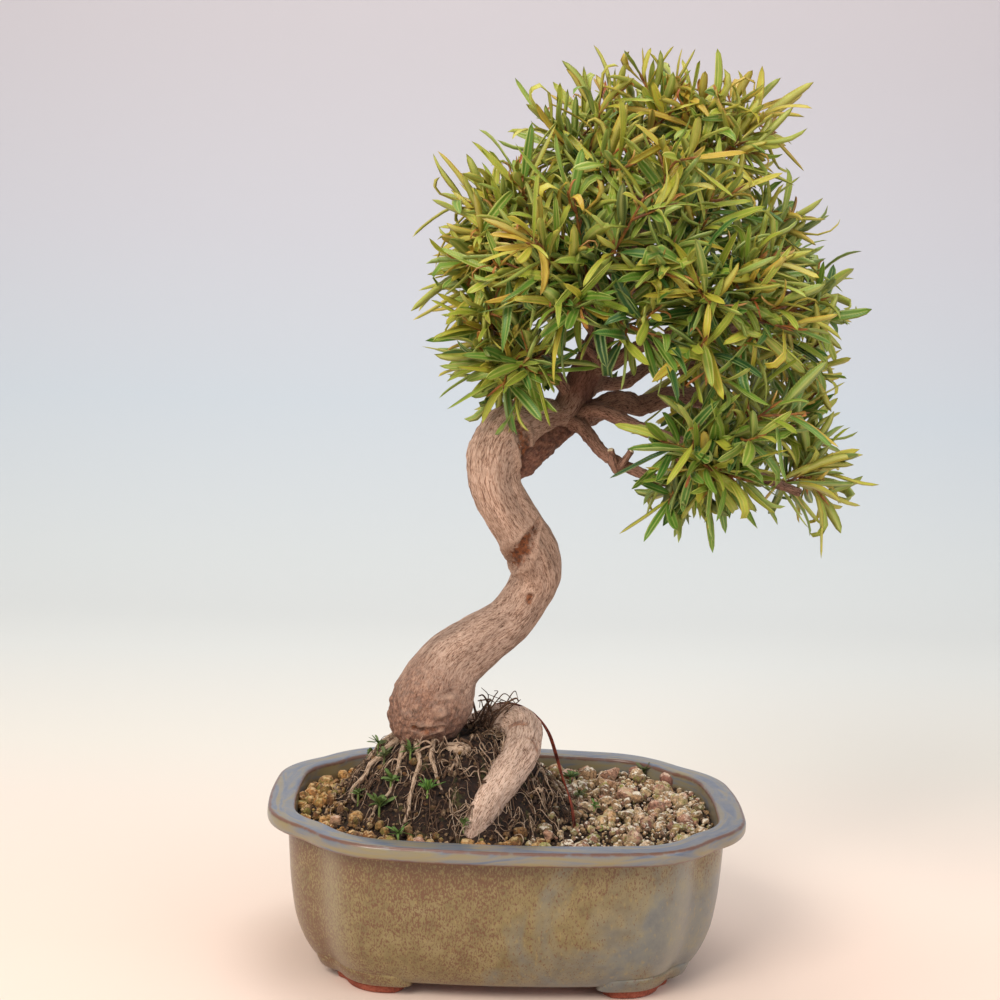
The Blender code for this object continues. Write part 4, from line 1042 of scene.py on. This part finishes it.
def make_leaves_on(twig, count, first, draw):
    """The leaves of one twig in a spiral round it, with their attributes."""
    t = np.linspace(first, 1.0, count)
    turn = LEAF_SPIRAL * np.arange(count) + draw.uniform(0, 6.28) + draw.normal(size=count) * 0.35
    opened = (1.25 - 0.70 * t) * draw.uniform(0.65, 1.35, count)
    roots, headings, along = headings_on(twig, t, turn, opened)
    headings = normalised(headings + draw.normal(size=(count, 3)) * 0.20 + np.array([0, 0, 0.10]))
    ups = np.array([0, 0, 1.0]) + along * 0.8 + draw.normal(size=(count, 3)) * 0.55
    ages = leaf_ages(roots, t, draw)
    new = ages < NEW_AGE
    lengths = draw.uniform(*LEAF_LENGTH, count) * (1.06 - 0.32 * t ** 2) * np.where(new, 0.55, 1.0)
    widths = draw.uniform(*LEAF_WIDTH, count) * (1.04 - 0.18 * t ** 2)
    widths = widths * np.where(new, 0.5, 0.86 + 0.36 * ages)
    curled = new | (draw.uniform(size=count) < 0.2)
    curls = np.where(curled, draw.uniform(0.9, 3.4, count) * draw.choice([-0.6, 1.0], count),
                     draw.normal(size=count) * 0.25)
    bends = (draw.uniform(-0.30, 0.80, count), curls, draw.normal(size=count) * 0.32,
             draw.normal(size=count) * 0.6)
    folds = draw.uniform(0.10, 0.65, count) + np.where(new, 0.35, 0.0)
    points, faces, across, v, under = leaf_mesh(roots, headings, ups, lengths, widths, bends, folds,
                                                LEAF_THICKNESS)
    per = len(points) // count
    points = kept_in_box(points.reshape(count, per, 3), roots).reshape(-1, 3)
    return points, faces, across, v, under, np.repeat(ages, per), np.repeat(draw.uniform(size=count), per)


def make_spray(number, branch, line, leaf_finish):
    """One spray: its twig and side twigs with their buds, and the leaves round them and on its branch."""
    draw = np.random.RandomState(SEED + 2000 + number)
    twigs = [line] + side_twigs(line, draw)
    leaf_parts = [make_leaves_on(line, TWIG_LEAVES, 0.08, draw)]
    leaf_parts += [make_leaves_on(twig, SIDE_LEAVES, 0.35, draw) for twig in twigs[1:]]
    leaf_parts.append(make_leaves_on(branch, BRANCH_LEAVES, 0.35, draw))
    wood_parts = []
    for twig in twigs:
        thick = np.linspace(TWIG_RADIUS if twig is line else 0.8, 0.45, len(twig))
        wood_parts.append(closed_tube(np.column_stack([twig, thick]), 6, 12))
        tip = twig[-1]
        way = normalised(twig[-1] - twig[-2])
        bud = [(*(tip + way * reach), radius) for reach, radius in BUD]
        wood_parts.append(closed_tube(bud, 5, 7))
    points, faces, across, v, under, age, chance = join(leaf_parts)
    leaves = put_mesh("leaves_%02d" % number, points, faces, leaf_finish, "fig_leaf",
                      across=across, along=v, under=under, age=age, chance=chance)
    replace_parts(leaves, "spray_%02d" % number)
    return join(wood_parts)


def make_sprays(lines, leaf_finish, twig_finish):
    wood = [make_spray(k + 1, branch, line, leaf_finish) for k, (_, branch, line) in enumerate(lines)]
    return put_wood("twigs", wood, twig_finish)


# Wire and weeds

def make_wire(finish):
    """Two strands laid side by side that turn slowly round each other."""
    rows = smooth_path([(*point, TIE_WIRE_RADIUS) for point in TIE_WIRE], 120)
    parts = []
    _, side, up = frames(rows[:, :3])
    phase = np.linspace(0, 8, len(rows))
    for half_turn in (0, np.pi):
        shift = side * np.cos(phase + half_turn)[:, None] + up * np.sin(phase + half_turn)[:, None]
        strand = np.column_stack([rows[:, :3] + shift * STRAND_OFFSET, np.full(len(rows), STRAND_RADIUS)])
        parts.append(closed_tube(strand, 10, 160))
    points, faces, _, _ = join(parts)
    wire = put_mesh("copper_wire", points, faces, finish, "copper_wire")
    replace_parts(wire, "tie_wire")


def make_weed(name, x, y, count, length, width, rise, finish):
    """A weed: a short stem and leaves in a star, in two whorls."""
    draw = np.random.RandomState(SEED + int(abs(x)))
    low = float(ground(x, y))
    stem = [(x, y, low - 4.0, 0.7), (x, y, low, 0.6), (x, y, low + WEED_RISE, 0.4)]
    count = count * 2
    turn = 2 * np.pi * np.arange(count) / (count / 2) + draw.uniform(-0.5, 0.5, count)
    tilt = rise + draw.uniform(-0.6, 0.5, count)
    headings = np.column_stack([np.cos(turn) * np.cos(tilt), np.sin(turn) * np.cos(tilt), np.sin(tilt)])
    whorl = np.arange(count) % 2
    roots = np.tile([x, y, low + WEED_RISE - 0.5], (count, 1)) - np.array([0, 0, 1.2]) * whorl[:, None]
    ups = np.tile([0.0, 0.0, 1.0], (count, 1))
    lengths = length * draw.uniform(0.5, 1.05, count)
    bends = (draw.uniform(0.0, 0.8, count), np.zeros(count), draw.normal(size=count) * 0.2,
             draw.normal(size=count) * 0.3)
    points, faces, across, _, _ = leaf_mesh(roots, headings, ups, lengths, np.full(count, width), bends,
                                            draw.uniform(0.1, 0.4, count), WEED_THICKNESS)
    stem_points, stem_faces, _, _ = closed_tube(stem, 8, 8)
    plain = np.zeros(len(stem_points))
    points, faces, across = join([(points, faces, across), (stem_points, stem_faces, plain)])
    return put_mesh(name, points, faces, finish, "weed_leaf", across=across,
                    dull=np.full(len(points), draw.uniform(0, 1)))


# Materials

def stoneware_glaze():
    """Satin glaze on stoneware: olive-tan, thick with red-brown specks that ran a little downwards on the
    left and under the rim, smooth blue-grey clouds low down on the right and by the corner creases, a
    grey-tan rim with blue streaks and worn red-brown lips, and a painted highlight down each corner crease."""
    made, tree, shader = new_material("stoneware_glaze", 0.34, IOR=1.5, Coat_Weight=0.25, Coat_Roughness=0.18)
    rim, edge, notch = (add(tree, "Attribute", out="Fac", attribute_name=name)
                        for name in ("rim", "edge", "notch"))
    flow = add(tree, "Attribute", out="Vector", attribute_name="flow")
    place = add(tree, "TexCoord", out="Object")
    centred = add(tree, "Mapping", {"Vector": place, "Location": tuple(-POT_PLACE)})
    x, z = (add(tree, "SeparateXYZ", [centred], out=axis) for axis in "XZ")
    mottle = add(tree, "TexNoise", {"Vector": centred, "Scale": 110.0, "Detail": 5.0, "Roughness": 0.65})
    body = add(tree, "ValToRGB", [mottle], ramp=[(0.30, "#6D5F3C"), (0.50, "#7E6F47"), (0.70, "#8A7B55")])
    # blue-grey clouds 40 to 70 mm wide, more of them to the right, low down and by the creases
    cloud = add(tree, "TexNoise", {"Vector": centred, "Scale": 16.0, "Detail": 4.0, "Roughness": 0.6,
                                   "Distortion": 0.8})
    clouded = add(tree, "MapRange", (x, -0.05, 0.11, -0.20, 0.13))
    for part in (add(tree, "MapRange", (z, 0.005, 0.065, 0.10, -0.06)), cloud,
                 add(tree, "Math", (notch, 0.12), operation="MULTIPLY")):
        clouded = add(tree, "Math", (clouded, part), operation="ADD")
    blue_share = add(tree, "ValToRGB", [clouded], ramp=[(0.49, 0.0), (0.66, 0.8)])
    blue = add(tree, "ValToRGB", [mottle], ramp=[(0.3, "#5E6468"), (0.5, "#6B7070"), (0.7, "#7B7A69")])
    # specks like grains of rice, under 1 mm wide and twice as tall: close together left and below the rim
    run = add(tree, "Mapping", {"Vector": centred, "Scale": (1.0, 1.0, 0.5)})
    dense = add(tree, "MapRange", (x, -0.09, 0.06, 0.045, -0.055))
    for part in (add(tree, "MapRange", (z, 0.052, 0.074, 0.0, 0.085)),
                 add(tree, "MapRange", (cloud, 0.35, 0.65, 0.05, -0.06)),
                 add(tree, "TexNoise", {"Vector": run, "Scale": 1350.0, "Detail": 2.0, "Roughness": 0.6}),
                 add(tree, "Math", (blue_share, -0.09), operation="MULTIPLY")):
        dense = add(tree, "Math", (dense, part), operation="ADD")
    brown = add(tree, "ValToRGB", [dense], ramp=[(0.51, 0.0), (0.56, 0.85)])
    crumbs = add(tree, "TexNoise", {"Vector": run, "Scale": 620.0, "Detail": 1.0})
    pale_speck = add(tree, "ValToRGB", [crumbs], ramp=[(0.62, 0.0), (0.74, 0.4)])
    # a pale band down each corner crease: painted highlight where the side of the crease catches the light
    painted_crease_highlight = add(tree, "Math", (notch, 0.30), operation="MULTIPLY")
    # streaks along the rim, 3 mm wide and 15 mm long, bluer on the flat top; flow is in millimetres
    streak = add(tree, "TexNoise", {"Vector": flow, "Scale": 0.16, "Detail": 4.0, "Roughness": 0.55,
                                    "Distortion": 1.2})
    top = add(tree, "MapRange", (z, 0.0800, 0.0818, 0.05, -0.05))
    rim_tone = add(tree, "ValToRGB", [add(tree, "Math", (top, streak), operation="ADD")],
                   ramp=[(0.32, "#586375"), (0.43, "#6C7177"), (0.52, "#7E786A"), (0.66, "#867A58")])
    edge_noise = add(tree, "TexNoise", {"Vector": centred, "Scale": 240.0, "Detail": 3.0})
    worn = add(tree, "Math", (edge, edge_noise), operation="MULTIPLY")
    worn = add(tree, "ValToRGB", [worn], ramp=[(0.12, 0.0), (0.40, 0.9)])
    colour = body
    for share, over in ((blue_share, blue), (brown, "#65402C"), (pale_speck, "#988554"), (painted_crease_highlight, "#A39B82"),
                        (rim, rim_tone), (worn, "#6A4433")):
        colour = add(tree, "Mix", {0: share, 6: colour, 7: over}, out=2, data_type="RGBA")
    tree.links.new(colour, shader.inputs["Base Color"])
    tree.links.new(add(tree, "MapRange", (mottle, 0.0, 1.0, 0.24, 0.44)), shader.inputs["Roughness"])
    bump = add(tree, "Bump", {"Height": mottle, "Distance": 0.0004, "Strength": 0.35})
    tree.links.new(bump, shader.inputs["Normal"])
    return made


def terracotta():
    """Unglazed red-brown stoneware clay of the feet and underside: matt, fine sandy grain."""
    made, tree, shader = new_material("bare_stoneware_clay", 0.85)
    place = add(tree, "TexCoord", out="Object")
    grit = add(tree, "TexNoise", {"Vector": place, "Scale": 900.0, "Detail": 3.0})
    soft = add(tree, "TexNoise", {"Vector": place, "Scale": 60.0, "Detail": 4.0})
    both = add(tree, "Math", (grit, soft), operation="MULTIPLY")
    tone = add(tree, "ValToRGB", [both], ramp=[(0.12, "#6E3220"), (0.26, "#8E4632"), (0.42, "#A8614A")])
    tree.links.new(tone, shader.inputs["Base Color"])
    bump = add(tree, "Bump", {"Height": grit, "Distance": 0.0003, "Strength": 0.5})
    tree.links.new(bump, shader.inputs["Normal"])
    return made


def fig_bark(name, light, middle, dark):
    """Thin dry bark: fine wavy strands along the wood with dark seams between them, redder and flaking on the
    base, rusty in old wounds with a pale lip round them, and darker where the shade attribute is high."""
    made, tree, shader = new_material(name, 0.85)
    grain = add(tree, "Attribute", out="Vector", attribute_name="grain")
    base, mark, shade = (add(tree, "Attribute", out="Fac", attribute_name=key)
                         for key in ("base", "mark", "shade"))
    place = add(tree, "TexCoord", out="Object")
    # the grain attribute is in millimetres: strands under 1 mm wide and six times as long, finer ones on them
    strands = add(tree, "TexNoise", {"Vector": grain, "Scale": 1.1, "Detail": 4.0, "Roughness": 0.65,
                                     "Distortion": 0.9})
    fine = add(tree, "TexNoise", {"Vector": grain, "Scale": 2.9, "Detail": 3.0, "Roughness": 0.6,
                                  "Distortion": 0.5})
    both = add(tree, "Mix", {0: 0.5, 2: strands, 3: fine})
    colour = add(tree, "ValToRGB", [both], ramp=[(0.38, dark), (0.46, middle), (0.54, light), (0.70, light)])
    broad = add(tree, "TexNoise", {"Vector": grain, "Scale": 0.14, "Detail": 4.0})
    broad = add(tree, "MapRange", (broad, 0.3, 0.7, 0.72, 1.2))
    flakes = add(tree, "TexNoise", {"Vector": place, "Scale": 420.0, "Detail": 4.0, "Roughness": 0.7})
    flake_tone = add(tree, "ValToRGB", [flakes],
                     ramp=[(0.38, "#422318"), (0.5, "#7A4C38"), (0.62, "#AE8268")])
    flaking = add(tree, "Math", (base, 0.75), operation="MULTIPLY")
    rust = add(tree, "ValToRGB", [flakes], ramp=[(0.40, "#3E1E10"), (0.60, "#9E5A2C")])
    rusty = add(tree, "MapRange", (mark, 0.0, 1.0, 0.0, 0.92))
    lip = add(tree, "MapRange", (mark, 0.0, -1.0, 0.0, 0.65))
    for share, over, blend in ((1.0, broad, "MULTIPLY"), (flaking, flake_tone, "MIX"), (rusty, rust, "MIX"),
                               (lip, "#C2A18B", "MIX"), (shade, "#B89A92", "MULTIPLY")):
        colour = add(tree, "Mix", {0: share, 6: colour, 7: over}, out=2, data_type="RGBA", blend_type=blend)
    tree.links.new(colour, shader.inputs["Base Color"])
    bump = add(tree, "Bump", {"Height": both, "Distance": 0.0018, "Strength": 0.9})
    tree.links.new(bump, shader.inputs["Normal"])
    return made


def fig_leaf():
    """Leathery narrow leaves: waxy satin upper side from yellow-olive to dark green with age, bronze when
    just opened, a pale rib, a margin that is orange on young leaves, side veins, a paler matt underside."""
    made, tree, shader = new_material("fig_leaf", 0.40, IOR=1.45, Subsurface_Weight=0.0)
    age, across, along, under, chance = (add(tree, "Attribute", out="Fac", attribute_name=name)
                                         for name in ("age", "across", "along", "under", "chance"))
    colour = add(tree, "ValToRGB", [age],
                 ramp=[(0.0, "#9C5228"), (0.06, "#B7803A"), (0.13, "#BFA23C"), (0.28, "#B3AE3C"),
                       (0.46, "#93A035"), (0.64, "#66882A"), (0.80, "#3D6A22"), (1.0, "#1F461A")])
    place = add(tree, "TexCoord", out="Object")
    blotch = add(tree, "TexNoise", {"Vector": place, "Scale": 190.0, "Detail": 3.0})
    blotch = add(tree, "MapRange", (blotch, 0.0, 1.0, 0.74, 1.26))
    pale = add(tree, "ValToRGB", [age], ramp=[(0.0, "#B4703A"), (0.16, "#C28A3C"), (0.34, "#D0B04A"),
                                              (0.6, "#C6C66A"), (1.0, "#9FB36A")])
    rib = add(tree, "ValToRGB", [across], ramp=[(0.0, 0.7), (0.12, 0.35), (0.22, 0.0)])
    margin = add(tree, "ValToRGB", [across], ramp=[(0.62, 0.0), (0.94, 0.9)])
    lined = add(tree, "Math", (rib, margin), operation="MAXIMUM")
    strong = add(tree, "MapRange", (chance, 0.0, 1.0, 0.45, 1.0))
    lined = add(tree, "Math", (lined, strong), operation="MULTIPLY")
    below = add(tree, "Math", (under, 0.55), operation="MULTIPLY")
    stalk = add(tree, "ValToRGB", [along], ramp=[(0.05, 0.8), (0.13, 0.0)])
    for share, over, blend in ((1.0, blotch, "MULTIPLY"), (lined, pale, "MIX"), (below, "#B0B26C", "MIX"),
                               (stalk, "#A8843E", "MIX")):
        colour = add(tree, "Mix", {0: share, 6: colour, 7: over}, out=2, data_type="RGBA", blend_type=blend)
    tree.links.new(colour, shader.inputs["Base Color"])
    # side veins about 1.2 mm apart, slanting forward from the rib
    slant = add(tree, "Math", (across, -0.06), operation="MULTIPLY")
    slant = add(tree, "Math", (slant, along), operation="ADD")
    waves = add(tree, "Math", (slant, 150.0), operation="MULTIPLY")
    waves = add(tree, "Math", [waves], operation="SINE")
    bump = add(tree, "Bump", {"Height": waves, "Distance": 0.00012, "Strength": 0.3})
    tree.links.new(bump, shader.inputs["Normal"])
    return made


def grain_material(name, ramp, scale, depth, crust, lichen_tone=None):
    """Dry porous mineral grains: each its own tone, with deep pits painted darker as shade, a pale crust in
    patches whose share grows on each grain's upper side as painted top light, and spots of lichen, dusted
    with peat on the root ball."""
    made, tree, shader = new_material(name, 0.93)
    place = add(tree, "TexCoord", out="Object")
    tone, dark = (add(tree, "Attribute", out="Fac", attribute_name=key) for key in ("tone", "dark"))
    pits = add(tree, "TexNoise", {"Vector": place, "Scale": scale, "Detail": 5.0, "Roughness": 0.7})
    colour = add(tree, "ValToRGB", [tone], ramp=ramp)
    # the colour is multiplied darker in the low spots of the pit noise and lighter on its high spots, the
    # same noise that makes the bump: painted shade in the pits and painted highlight between them
    pit_shade_and_highlight = add(tree, "MapRange", (pits, 0.36, 0.62, 0.26, 1.32))
    # the upward-facing side of each grain gets more of the pale crust tone: painted top light, added to noise
    # patches of crust
    upper = add(tree, "SeparateXYZ", [add(tree, "NewGeometry", out="Normal")], out="Z")
    upper = add(tree, "Math", (upper, 0.22), operation="MULTIPLY")
    patch = add(tree, "TexNoise", {"Vector": place, "Scale": 340.0, "Detail": 4.0, "Roughness": 0.75})
    upper = add(tree, "Math", (upper, patch), operation="ADD")
    crust_and_top_light = add(tree, "ValToRGB", [upper], ramp=[(0.66, 0.0), (0.75, 0.85)])
    dusted = add(tree, "Math", (dark, 0.62), operation="MULTIPLY")
    layers = [(1.0, pit_shade_and_highlight, "MULTIPLY"), (crust_and_top_light, crust, "MIX"), (dusted, "#2A190F", "MIX")]
    if lichen_tone:
        lichen = add(tree, "Attribute", out="Fac", attribute_name="lichen")
        spots = add(tree, "TexNoise", {"Vector": place, "Scale": 230.0, "Detail": 4.0, "Roughness": 0.7})
        spots = add(tree, "ValToRGB", [spots], ramp=[(0.46, 0.0), (0.60, 1.0)])
        layers.insert(2, (add(tree, "Math", (spots, lichen), operation="MULTIPLY"), lichen_tone, "MIX"))
    for share, over, blend in layers:
        colour = add(tree, "Mix", {0: share, 6: colour, 7: over}, out=2, data_type="RGBA", blend_type=blend)
    tree.links.new(colour, shader.inputs["Base Color"])
    bump = add(tree, "Bump", {"Height": pits, "Distance": depth, "Strength": 0.9})
    tree.links.new(bump, shader.inputs["Normal"])
    return made


def soil_bed_material():
    """What shows between the grains: dark brown fines, and peaty root ball with thin moss on the mound."""
    made, tree, shader = new_material("dry_soil_fines", 0.97)
    place = add(tree, "TexCoord", out="Object")
    dark = add(tree, "Attribute", out="Fac", attribute_name="dark")
    fines = add(tree, "TexNoise", {"Vector": place, "Scale": 480.0, "Detail": 6.0, "Roughness": 0.75})
    colour = add(tree, "ValToRGB", [fines], ramp=[(0.35, "#1A100A"), (0.65, "#452D1B")])
    peat = add(tree, "ValToRGB", [fines], ramp=[(0.36, "#100906"), (0.56, "#2E1B11"), (0.68, "#5E3A22")])
    moss = add(tree, "TexNoise", {"Vector": place, "Scale": 75.0, "Detail": 5.0, "Roughness": 0.7})
    moss = add(tree, "ValToRGB", [moss], ramp=[(0.56, 0.0), (0.66, 0.6)])
    for share, over in ((dark, peat), (moss, "#5A5C2C")):
        colour = add(tree, "Mix", {0: share, 6: colour, 7: over}, out=2, data_type="RGBA")
    tree.links.new(colour, shader.inputs["Base Color"])
    bump = add(tree, "Bump", {"Height": fines, "Distance": 0.0018, "Strength": 0.9})
    tree.links.new(bump, shader.inputs["Normal"])
    return made


def weed_material():
    """Soft weed leaves: green with a lighter rib, some plants fresh and some dull, thin and hairy, so nearly
    matt."""
    made, tree, shader = new_material("weed_leaf", 0.6)
    across, dull = (add(tree, "Attribute", out="Fac", attribute_name=name) for name in ("across", "dull"))
    tone = add(tree, "ValToRGB", [across], ramp=[(0.0, "#8AA850"), (0.2, "#5A8430"), (1.0, "#3E6822")])
    colour = add(tree, "Mix", {0: dull, 6: tone, 7: "#565C30"}, out=2, data_type="RGBA")
    tree.links.new(colour, shader.inputs["Base Color"])
    return made


def plain_material(name, roughness, metallic, scale, detail, ramp, depth=None):
    """A material whose tone follows one noise, with a bump of the same noise where a depth is given."""
    made, tree, shader = new_material(name, roughness, metallic)
    place = add(tree, "TexCoord", out="Object")
    spots = add(tree, "TexNoise", {"Vector": place, "Scale": scale, "Detail": detail})
    tree.links.new(add(tree, "ValToRGB", [spots], ramp=ramp), shader.inputs["Base Color"])
    if depth:
        bump = add(tree, "Bump", {"Height": spots, "Distance": depth, "Strength": 0.4})
        tree.links.new(bump, shader.inputs["Normal"])
    return made


def saw_cut_wood():
    """Bare sapwood of a saw cut gone dry: pale cream, matt, with dust in its pores."""
    return plain_material("dry_sapwood", 0.8, 0.0, 900.0, 3.0, [(0.36, "#A98B66"), (0.6, "#E2D3B4")])


def young_twig():
    """Green-brown young wood with rust-red bud scales: smooth, slightly waxy."""
    return plain_material("young_twig_bark", 0.6, 0.0, 260.0, 4.0,
                          [(0.36, "#6A3D22"), (0.5, "#8F5A30"), (0.62, "#A8702F")], 0.0003)


def copper_material():
    """Annealed copper wire gone dark red-brown: a soft metal gleam under the tarnish."""
    return plain_material("tarnished_copper", 0.42, 0.85, 300.0, 3.0, [(0.35, "#4A211B"), (0.65, "#86402E")])


def screen_material():
    """Moulded black polyethylene mesh: dull, faintly dusty."""
    return plain_material("black_polyethylene", 0.6, 0.0, 200.0, 4.0, [(0.4, "#151515"), (0.7, "#3A3733")])


# The stage

def make_stage():
    """A pale floor that sweeps up behind the pot: flat, then a quarter circle, then a wall. Its colour is
    painted light: warm cream near the pot, cooler and a little darker with distance and height, as y + z."""
    made, tree, shader = new_material("studio_paper", 0.95)
    place = add(tree, "TexCoord", out="Object")
    y, z = (add(tree, "SeparateXYZ", [place], out=axis) for axis in "YZ")
    # the paper's tone follows depth plus height: painted light falloff, warm near the pot, cooler and darker
    # further off
    reach = add(tree, "MapRange", (add(tree, "Math", (y, z), operation="ADD"), 0.0, PAPER_REACH))
    tree.links.new(add(tree, "ValToRGB", [reach], ramp=PAPER_PAINTED_LIGHT_TONES), shader.inputs["Base Color"])
    near = np.linspace(PAPER_FRONT, PAPER_BEND, 12)
    bend = np.linspace(0, np.pi / 2, 24)[1:]
    y = np.concatenate([near, PAPER_BEND + PAPER_RADIUS * np.sin(bend), [PAPER_BEND + PAPER_RADIUS]])
    z = np.concatenate([np.zeros(len(near)), PAPER_RADIUS - PAPER_RADIUS * np.cos(bend), [PAPER_HALF]])
    x = np.linspace(-PAPER_HALF, PAPER_HALF, 12)
    points = np.stack(np.broadcast_arrays(x[None], y[:, None], z[:, None]), -1).reshape(-1, 3) * MM
    mesh = bpy.data.meshes.new("studio_floor")
    mesh.from_pydata(points.tolist(), [], grid_faces(len(y), len(x), wrap=False).tolist())
    mesh.polygons.foreach_set("use_smooth", np.ones(len(mesh.polygons), bool))
    mesh.materials.append(made)
    floor = bpy.data.objects.new("studio_floor", mesh)
    bpy.context.scene.collection.objects.link(floor)


def add_light(name, place, size, power, colour):
    """A square area light in metres that faces the middle of the tree."""
    data = bpy.data.lights.new(name, "AREA")
    data.size = size
    data.energy = power
    data.color = linear(colour)[:3]
    lamp = bpy.data.objects.new(name, data)
    lamp.location = place
    aim = np.array([0.0, 0.0, 0.22]) - np.array(place)
    lamp.rotation_euler = Vector(aim).to_track_quat("-Z", "Y").to_euler()
    bpy.context.scene.collection.objects.link(lamp)


def make_lights():
    world = bpy.data.worlds.new("studio")
    world.use_nodes = True
    sky = world.node_tree.nodes["Background"]
    sky.inputs["Color"].default_value = linear("#EEF0F2")
    sky.inputs["Strength"].default_value = 0.58
    bpy.context.scene.world = world
    add_light("key", (-0.9, -1.3, 1.35), 0.9, 30.0, "#FFF8F0")
    add_light("fill", (1.3, -1.0, 0.8), 1.3, 9.0, "#F4F6FF")
    add_light("top", (0.1, 0.3, 1.9), 1.2, 16.0, "#FFFFFF")


def make_camera():
    """The photograph's camera: on a sphere round the point it looks at, then rolled."""
    tilt, turn, roll = np.radians([CAMERA_RISE, CAMERA_TURN, CAMERA_ROLL])
    back = np.array([np.sin(turn) * np.cos(tilt), -np.cos(turn) * np.cos(tilt), np.sin(tilt)])
    place = (np.array(LOOK_AT) + back * CAMERA_DISTANCE) * MM + POT_PLACE
    right = normalised(np.cross(-back, (0, 0, 1.0)))
    up = np.cross(right, -back)
    rolled_right = np.cos(roll) * right + np.sin(roll) * up
    rolled_up = -np.sin(roll) * right + np.cos(roll) * up
    data = bpy.data.cameras.new("camera")
    data.lens = CAMERA_LENS
    data.sensor_width = 36.0
    data.clip_end = 50.0
    camera = bpy.data.objects.new("camera", data)
    matrix = np.eye(4)
    matrix[:3, 0], matrix[:3, 1], matrix[:3, 2], matrix[:3, 3] = rolled_right, rolled_up, back, place
    camera.matrix_world = Matrix(matrix.tolist())
    bpy.context.scene.collection.objects.link(camera)
    bpy.context.scene.camera = camera
    bpy.context.scene.view_settings.view_transform = "Standard"


def main():
    make_camera()
    make_stage()
    make_lights()
    glaze = stoneware_glaze()
    clay = terracotta()
    bark = fig_bark("fig_bark", "#CBAB96", "#A4816B", "#5A3C2C")
    limb_bark = fig_bark("fig_limb_bark", "#A67E69", "#7A5645", "#3E271D")
    root_bark = fig_bark("pale_root_bark", "#E0C2AD", "#BC9982", "#553625")
    tan_root = fig_bark("tan_root_bark", "#D2B69C", "#A28265", "#543A2A")
    brown_root = fig_bark("brown_root_bark", "#77583F", "#523826", "#2E1C12")
    for piece in (make_pot_body(glaze), make_pot_floor(clay), *make_feet(clay, glaze)):
        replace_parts(piece, "pot")
    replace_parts(make_soil_bed(soil_bed_material()), "soil")
    akadama = [(0.0, "#5E3A20"), (0.35, "#9C6A38"), (0.7, "#BC8C54"), (1.0, "#74523A")]
    pumice = [(0.0, "#7A5C48"), (0.3, "#B8926A"), (0.55, "#CDAF88"), (0.8, "#B08068"), (1.0, "#5E4232")]
    crumbs = [(0.0, "#140D08"), (0.45, "#463020"), (0.75, "#8A6A46"), (1.0, "#D2B088")]
    stones = [(0.0, "#84594A"), (0.5, "#A97C66"), (0.8, "#B08A5C"), (1.0, "#96602E")]
    # each grain material's pale crust tone is also laid on the grains' upper sides as painted top light
    make_grains(grain_material("akadama_clay_grains", akadama, 700.0, 0.0006, "#D0B080", "#85803C"),
                grain_material("crusted_pumice_grains", pumice, 620.0, 0.0009, "#F2E8D4", "#8E9048"),
                grain_material("soil_crumbs", crumbs, 900.0, 0.0003, "#8A6C4C"),
                grain_material("worn_stones", stones, 500.0, 0.0004, "#D8B8A0", "#B9AA80"))
    lines = plan_sprays()
    wood = [make_trunk(bark), make_burr(bark), make_limbs(lines, limb_bark, saw_cut_wood())]
    roots = [make_arch_root(root_bark), *make_surface_roots(tan_root, brown_root)]
    for piece in wood + roots:
        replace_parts(piece, "tree_wood")
    make_root_hairs(brown_root)
    make_sprays(lines, fig_leaf(), young_twig())
    make_wire(copper_material())
    weed = weed_material()
    for name, (place, *row) in WEEDS.items():
        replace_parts(make_weed(name + "_leaves", *place, *row, weed), name)
    for k, (x, y, count, length, width) in enumerate(SEEDLINGS):
        make_weed("seedling_%02d" % (k + 1), x, y, count, length, width, SEEDLING_TILT, weed)
    screen = screen_material()
    for name in ("drain_mesh_left", "drain_mesh_right"):
        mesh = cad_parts[name].data
        mesh.materials.clear()
        mesh.materials.append(screen)


main()
